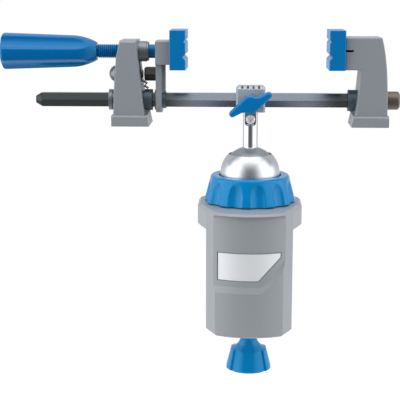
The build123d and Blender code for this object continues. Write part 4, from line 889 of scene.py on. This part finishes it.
def soft_box(name, place, size, power):
    """A rectangular lamp at place, turned to face the middle of the vise."""
    lamp = bpy.data.lights.new(name, "AREA")
    lamp.shape = "RECTANGLE"
    lamp.size = size[0]
    lamp.size_y = size[1]
    lamp.energy = power
    box = bpy.data.objects.new(name, lamp)
    box.location = place
    box.rotation_euler = (Vector(lit_point) - Vector(place)).to_track_quat("-Z", "Y").to_euler()
    bpy.context.scene.collection.objects.link(box)
    print(name, power, "W")


soft_box("left box", left_place, side_size, left_power)
soft_box("right box", right_place, side_size, right_power)
soft_box("top box", top_place, top_size, top_power)

# %% [markdown]
# ## White tent
# The vise stands in a white tent that is bright at the sides, dimmer behind and above, and dark only
# where the camera looks in: that gap is the dark band down the middle of the polished cap and post. A
# photograph of a studio, wrapped round the scene, is the usual way, but a few sums on the ray's direction
# can be tuned wall by wall. The compass direction of a ray, without its height, says which wall it meets.

# %% Walls and roof of the tent
# The gap ends and the back begins at these values of the compass direction's Y, which is -1 in front.
gap_within = -0.96
gap_to = -0.78
gap_bright = 0.12
wall_bright = 1.05
back_from = 0.2
back_to = 0.6
back_share = 0.55
# The roof begins at this Z of the ray's direction, which is 1 straight up.
roof_from = 0.4
roof_to = 0.75
roof_bright = 0.85
world = bpy.data.worlds.new("white tent")
bpy.context.scene.world = world
world.use_nodes = True
tree = world.node_tree
tree.nodes.clear()
towards = add(tree, "ShaderNodeTexCoord").outputs["Generated"]
level = add(tree, "ShaderNodeVectorMath", {0: towards, 1: (1, 1, 0)}, operation="MULTIPLY")
compass = add(tree, "ShaderNodeVectorMath", {0: level.outputs["Vector"]}, operation="NORMALIZE")
behind = add(tree, "ShaderNodeSeparateXYZ", {0: compass.outputs["Vector"]}).outputs["Y"]
up = add(tree, "ShaderNodeSeparateXYZ", {0: towards}).outputs["Z"]
gap = add(tree, "ShaderNodeMapRange", {"Value": behind, "From Min": gap_within, "From Max": gap_to,
                                       "To Min": gap_bright, "To Max": wall_bright},
          interpolation_type="SMOOTHSTEP")
back = add(tree, "ShaderNodeMapRange", {"Value": behind, "From Min": back_from, "From Max": back_to,
                                        "To Min": 1.0, "To Max": back_share},
           interpolation_type="SMOOTHSTEP")
walls = add(tree, "ShaderNodeMath", {0: gap.outputs["Result"], 1: back.outputs["Result"]},
            operation="MULTIPLY")
roof = add(tree, "ShaderNodeMapRange", {"Value": up, "From Min": roof_from, "From Max": roof_to,
                                        "To Max": roof_bright}, interpolation_type="SMOOTHSTEP")
tent = add(tree, "ShaderNodeMath", {0: walls.outputs[0], 1: roof.outputs["Result"]}, operation="MAXIMUM")
print("tent walls", wall_bright, "bright and", gap_bright, "in the gap")

# %% [markdown]
# ## What the tent lights
# Reflections see the tent a little brighter than matt surfaces do, so that highlights stay crisp without
# washing out the paint. The camera itself sees plain white.

# %% What the tent lights
matt_strength = 0.95
glossy_strength = 1.3
ray = add(tree, "ShaderNodeLightPath")
strength = add(tree, "ShaderNodeMapRange", {"Value": ray.outputs["Is Glossy Ray"], "To Min": matt_strength,
                                            "To Max": glossy_strength})
panels = add(tree, "ShaderNodeMath", {0: tent.outputs[0], 1: strength.outputs["Result"]},
             operation="MULTIPLY")
ambient = add(tree, "ShaderNodeBackground", {"Color": srgb("#ffffff"), "Strength": panels.outputs[0]})
seen = add(tree, "ShaderNodeBackground", {"Color": srgb("#ffffff"), "Strength": 1.0})
both = add(tree, "ShaderNodeMixShader", {0: ray.outputs["Is Camera Ray"], 1: ambient.outputs[0],
                                         2: seen.outputs[0]})
add(tree, "ShaderNodeOutputWorld", {"Surface": both.outputs[0]})
print("tent strength", matt_strength, "and in reflections", glossy_strength)

# %% [markdown]
# ## Camera
# The camera stands where the photograph was taken from: in front and a little above the bar. It is a
# metre away with a long lens, so the perspective is slight. The Standard view shows colours as they were
# mixed.

# %% Camera
camera_place = (-0.00023, -0.97911, 0.20901)
camera_aim = (-0.0445, 0.9806, -0.1908)
focal_length = 100
sensor_width = 36
lens = bpy.data.cameras.new("photo camera")
lens.lens = focal_length
lens.sensor_width = sensor_width
camera = bpy.data.objects.new("photo camera", lens)
camera.location = camera_place
camera.rotation_euler = Vector(camera_aim).to_track_quat("-Z", "Y").to_euler()
bpy.context.scene.collection.objects.link(camera)
bpy.context.scene.camera = camera
bpy.context.scene.view_settings.view_transform = "Standard"
print("camera at", camera_place)
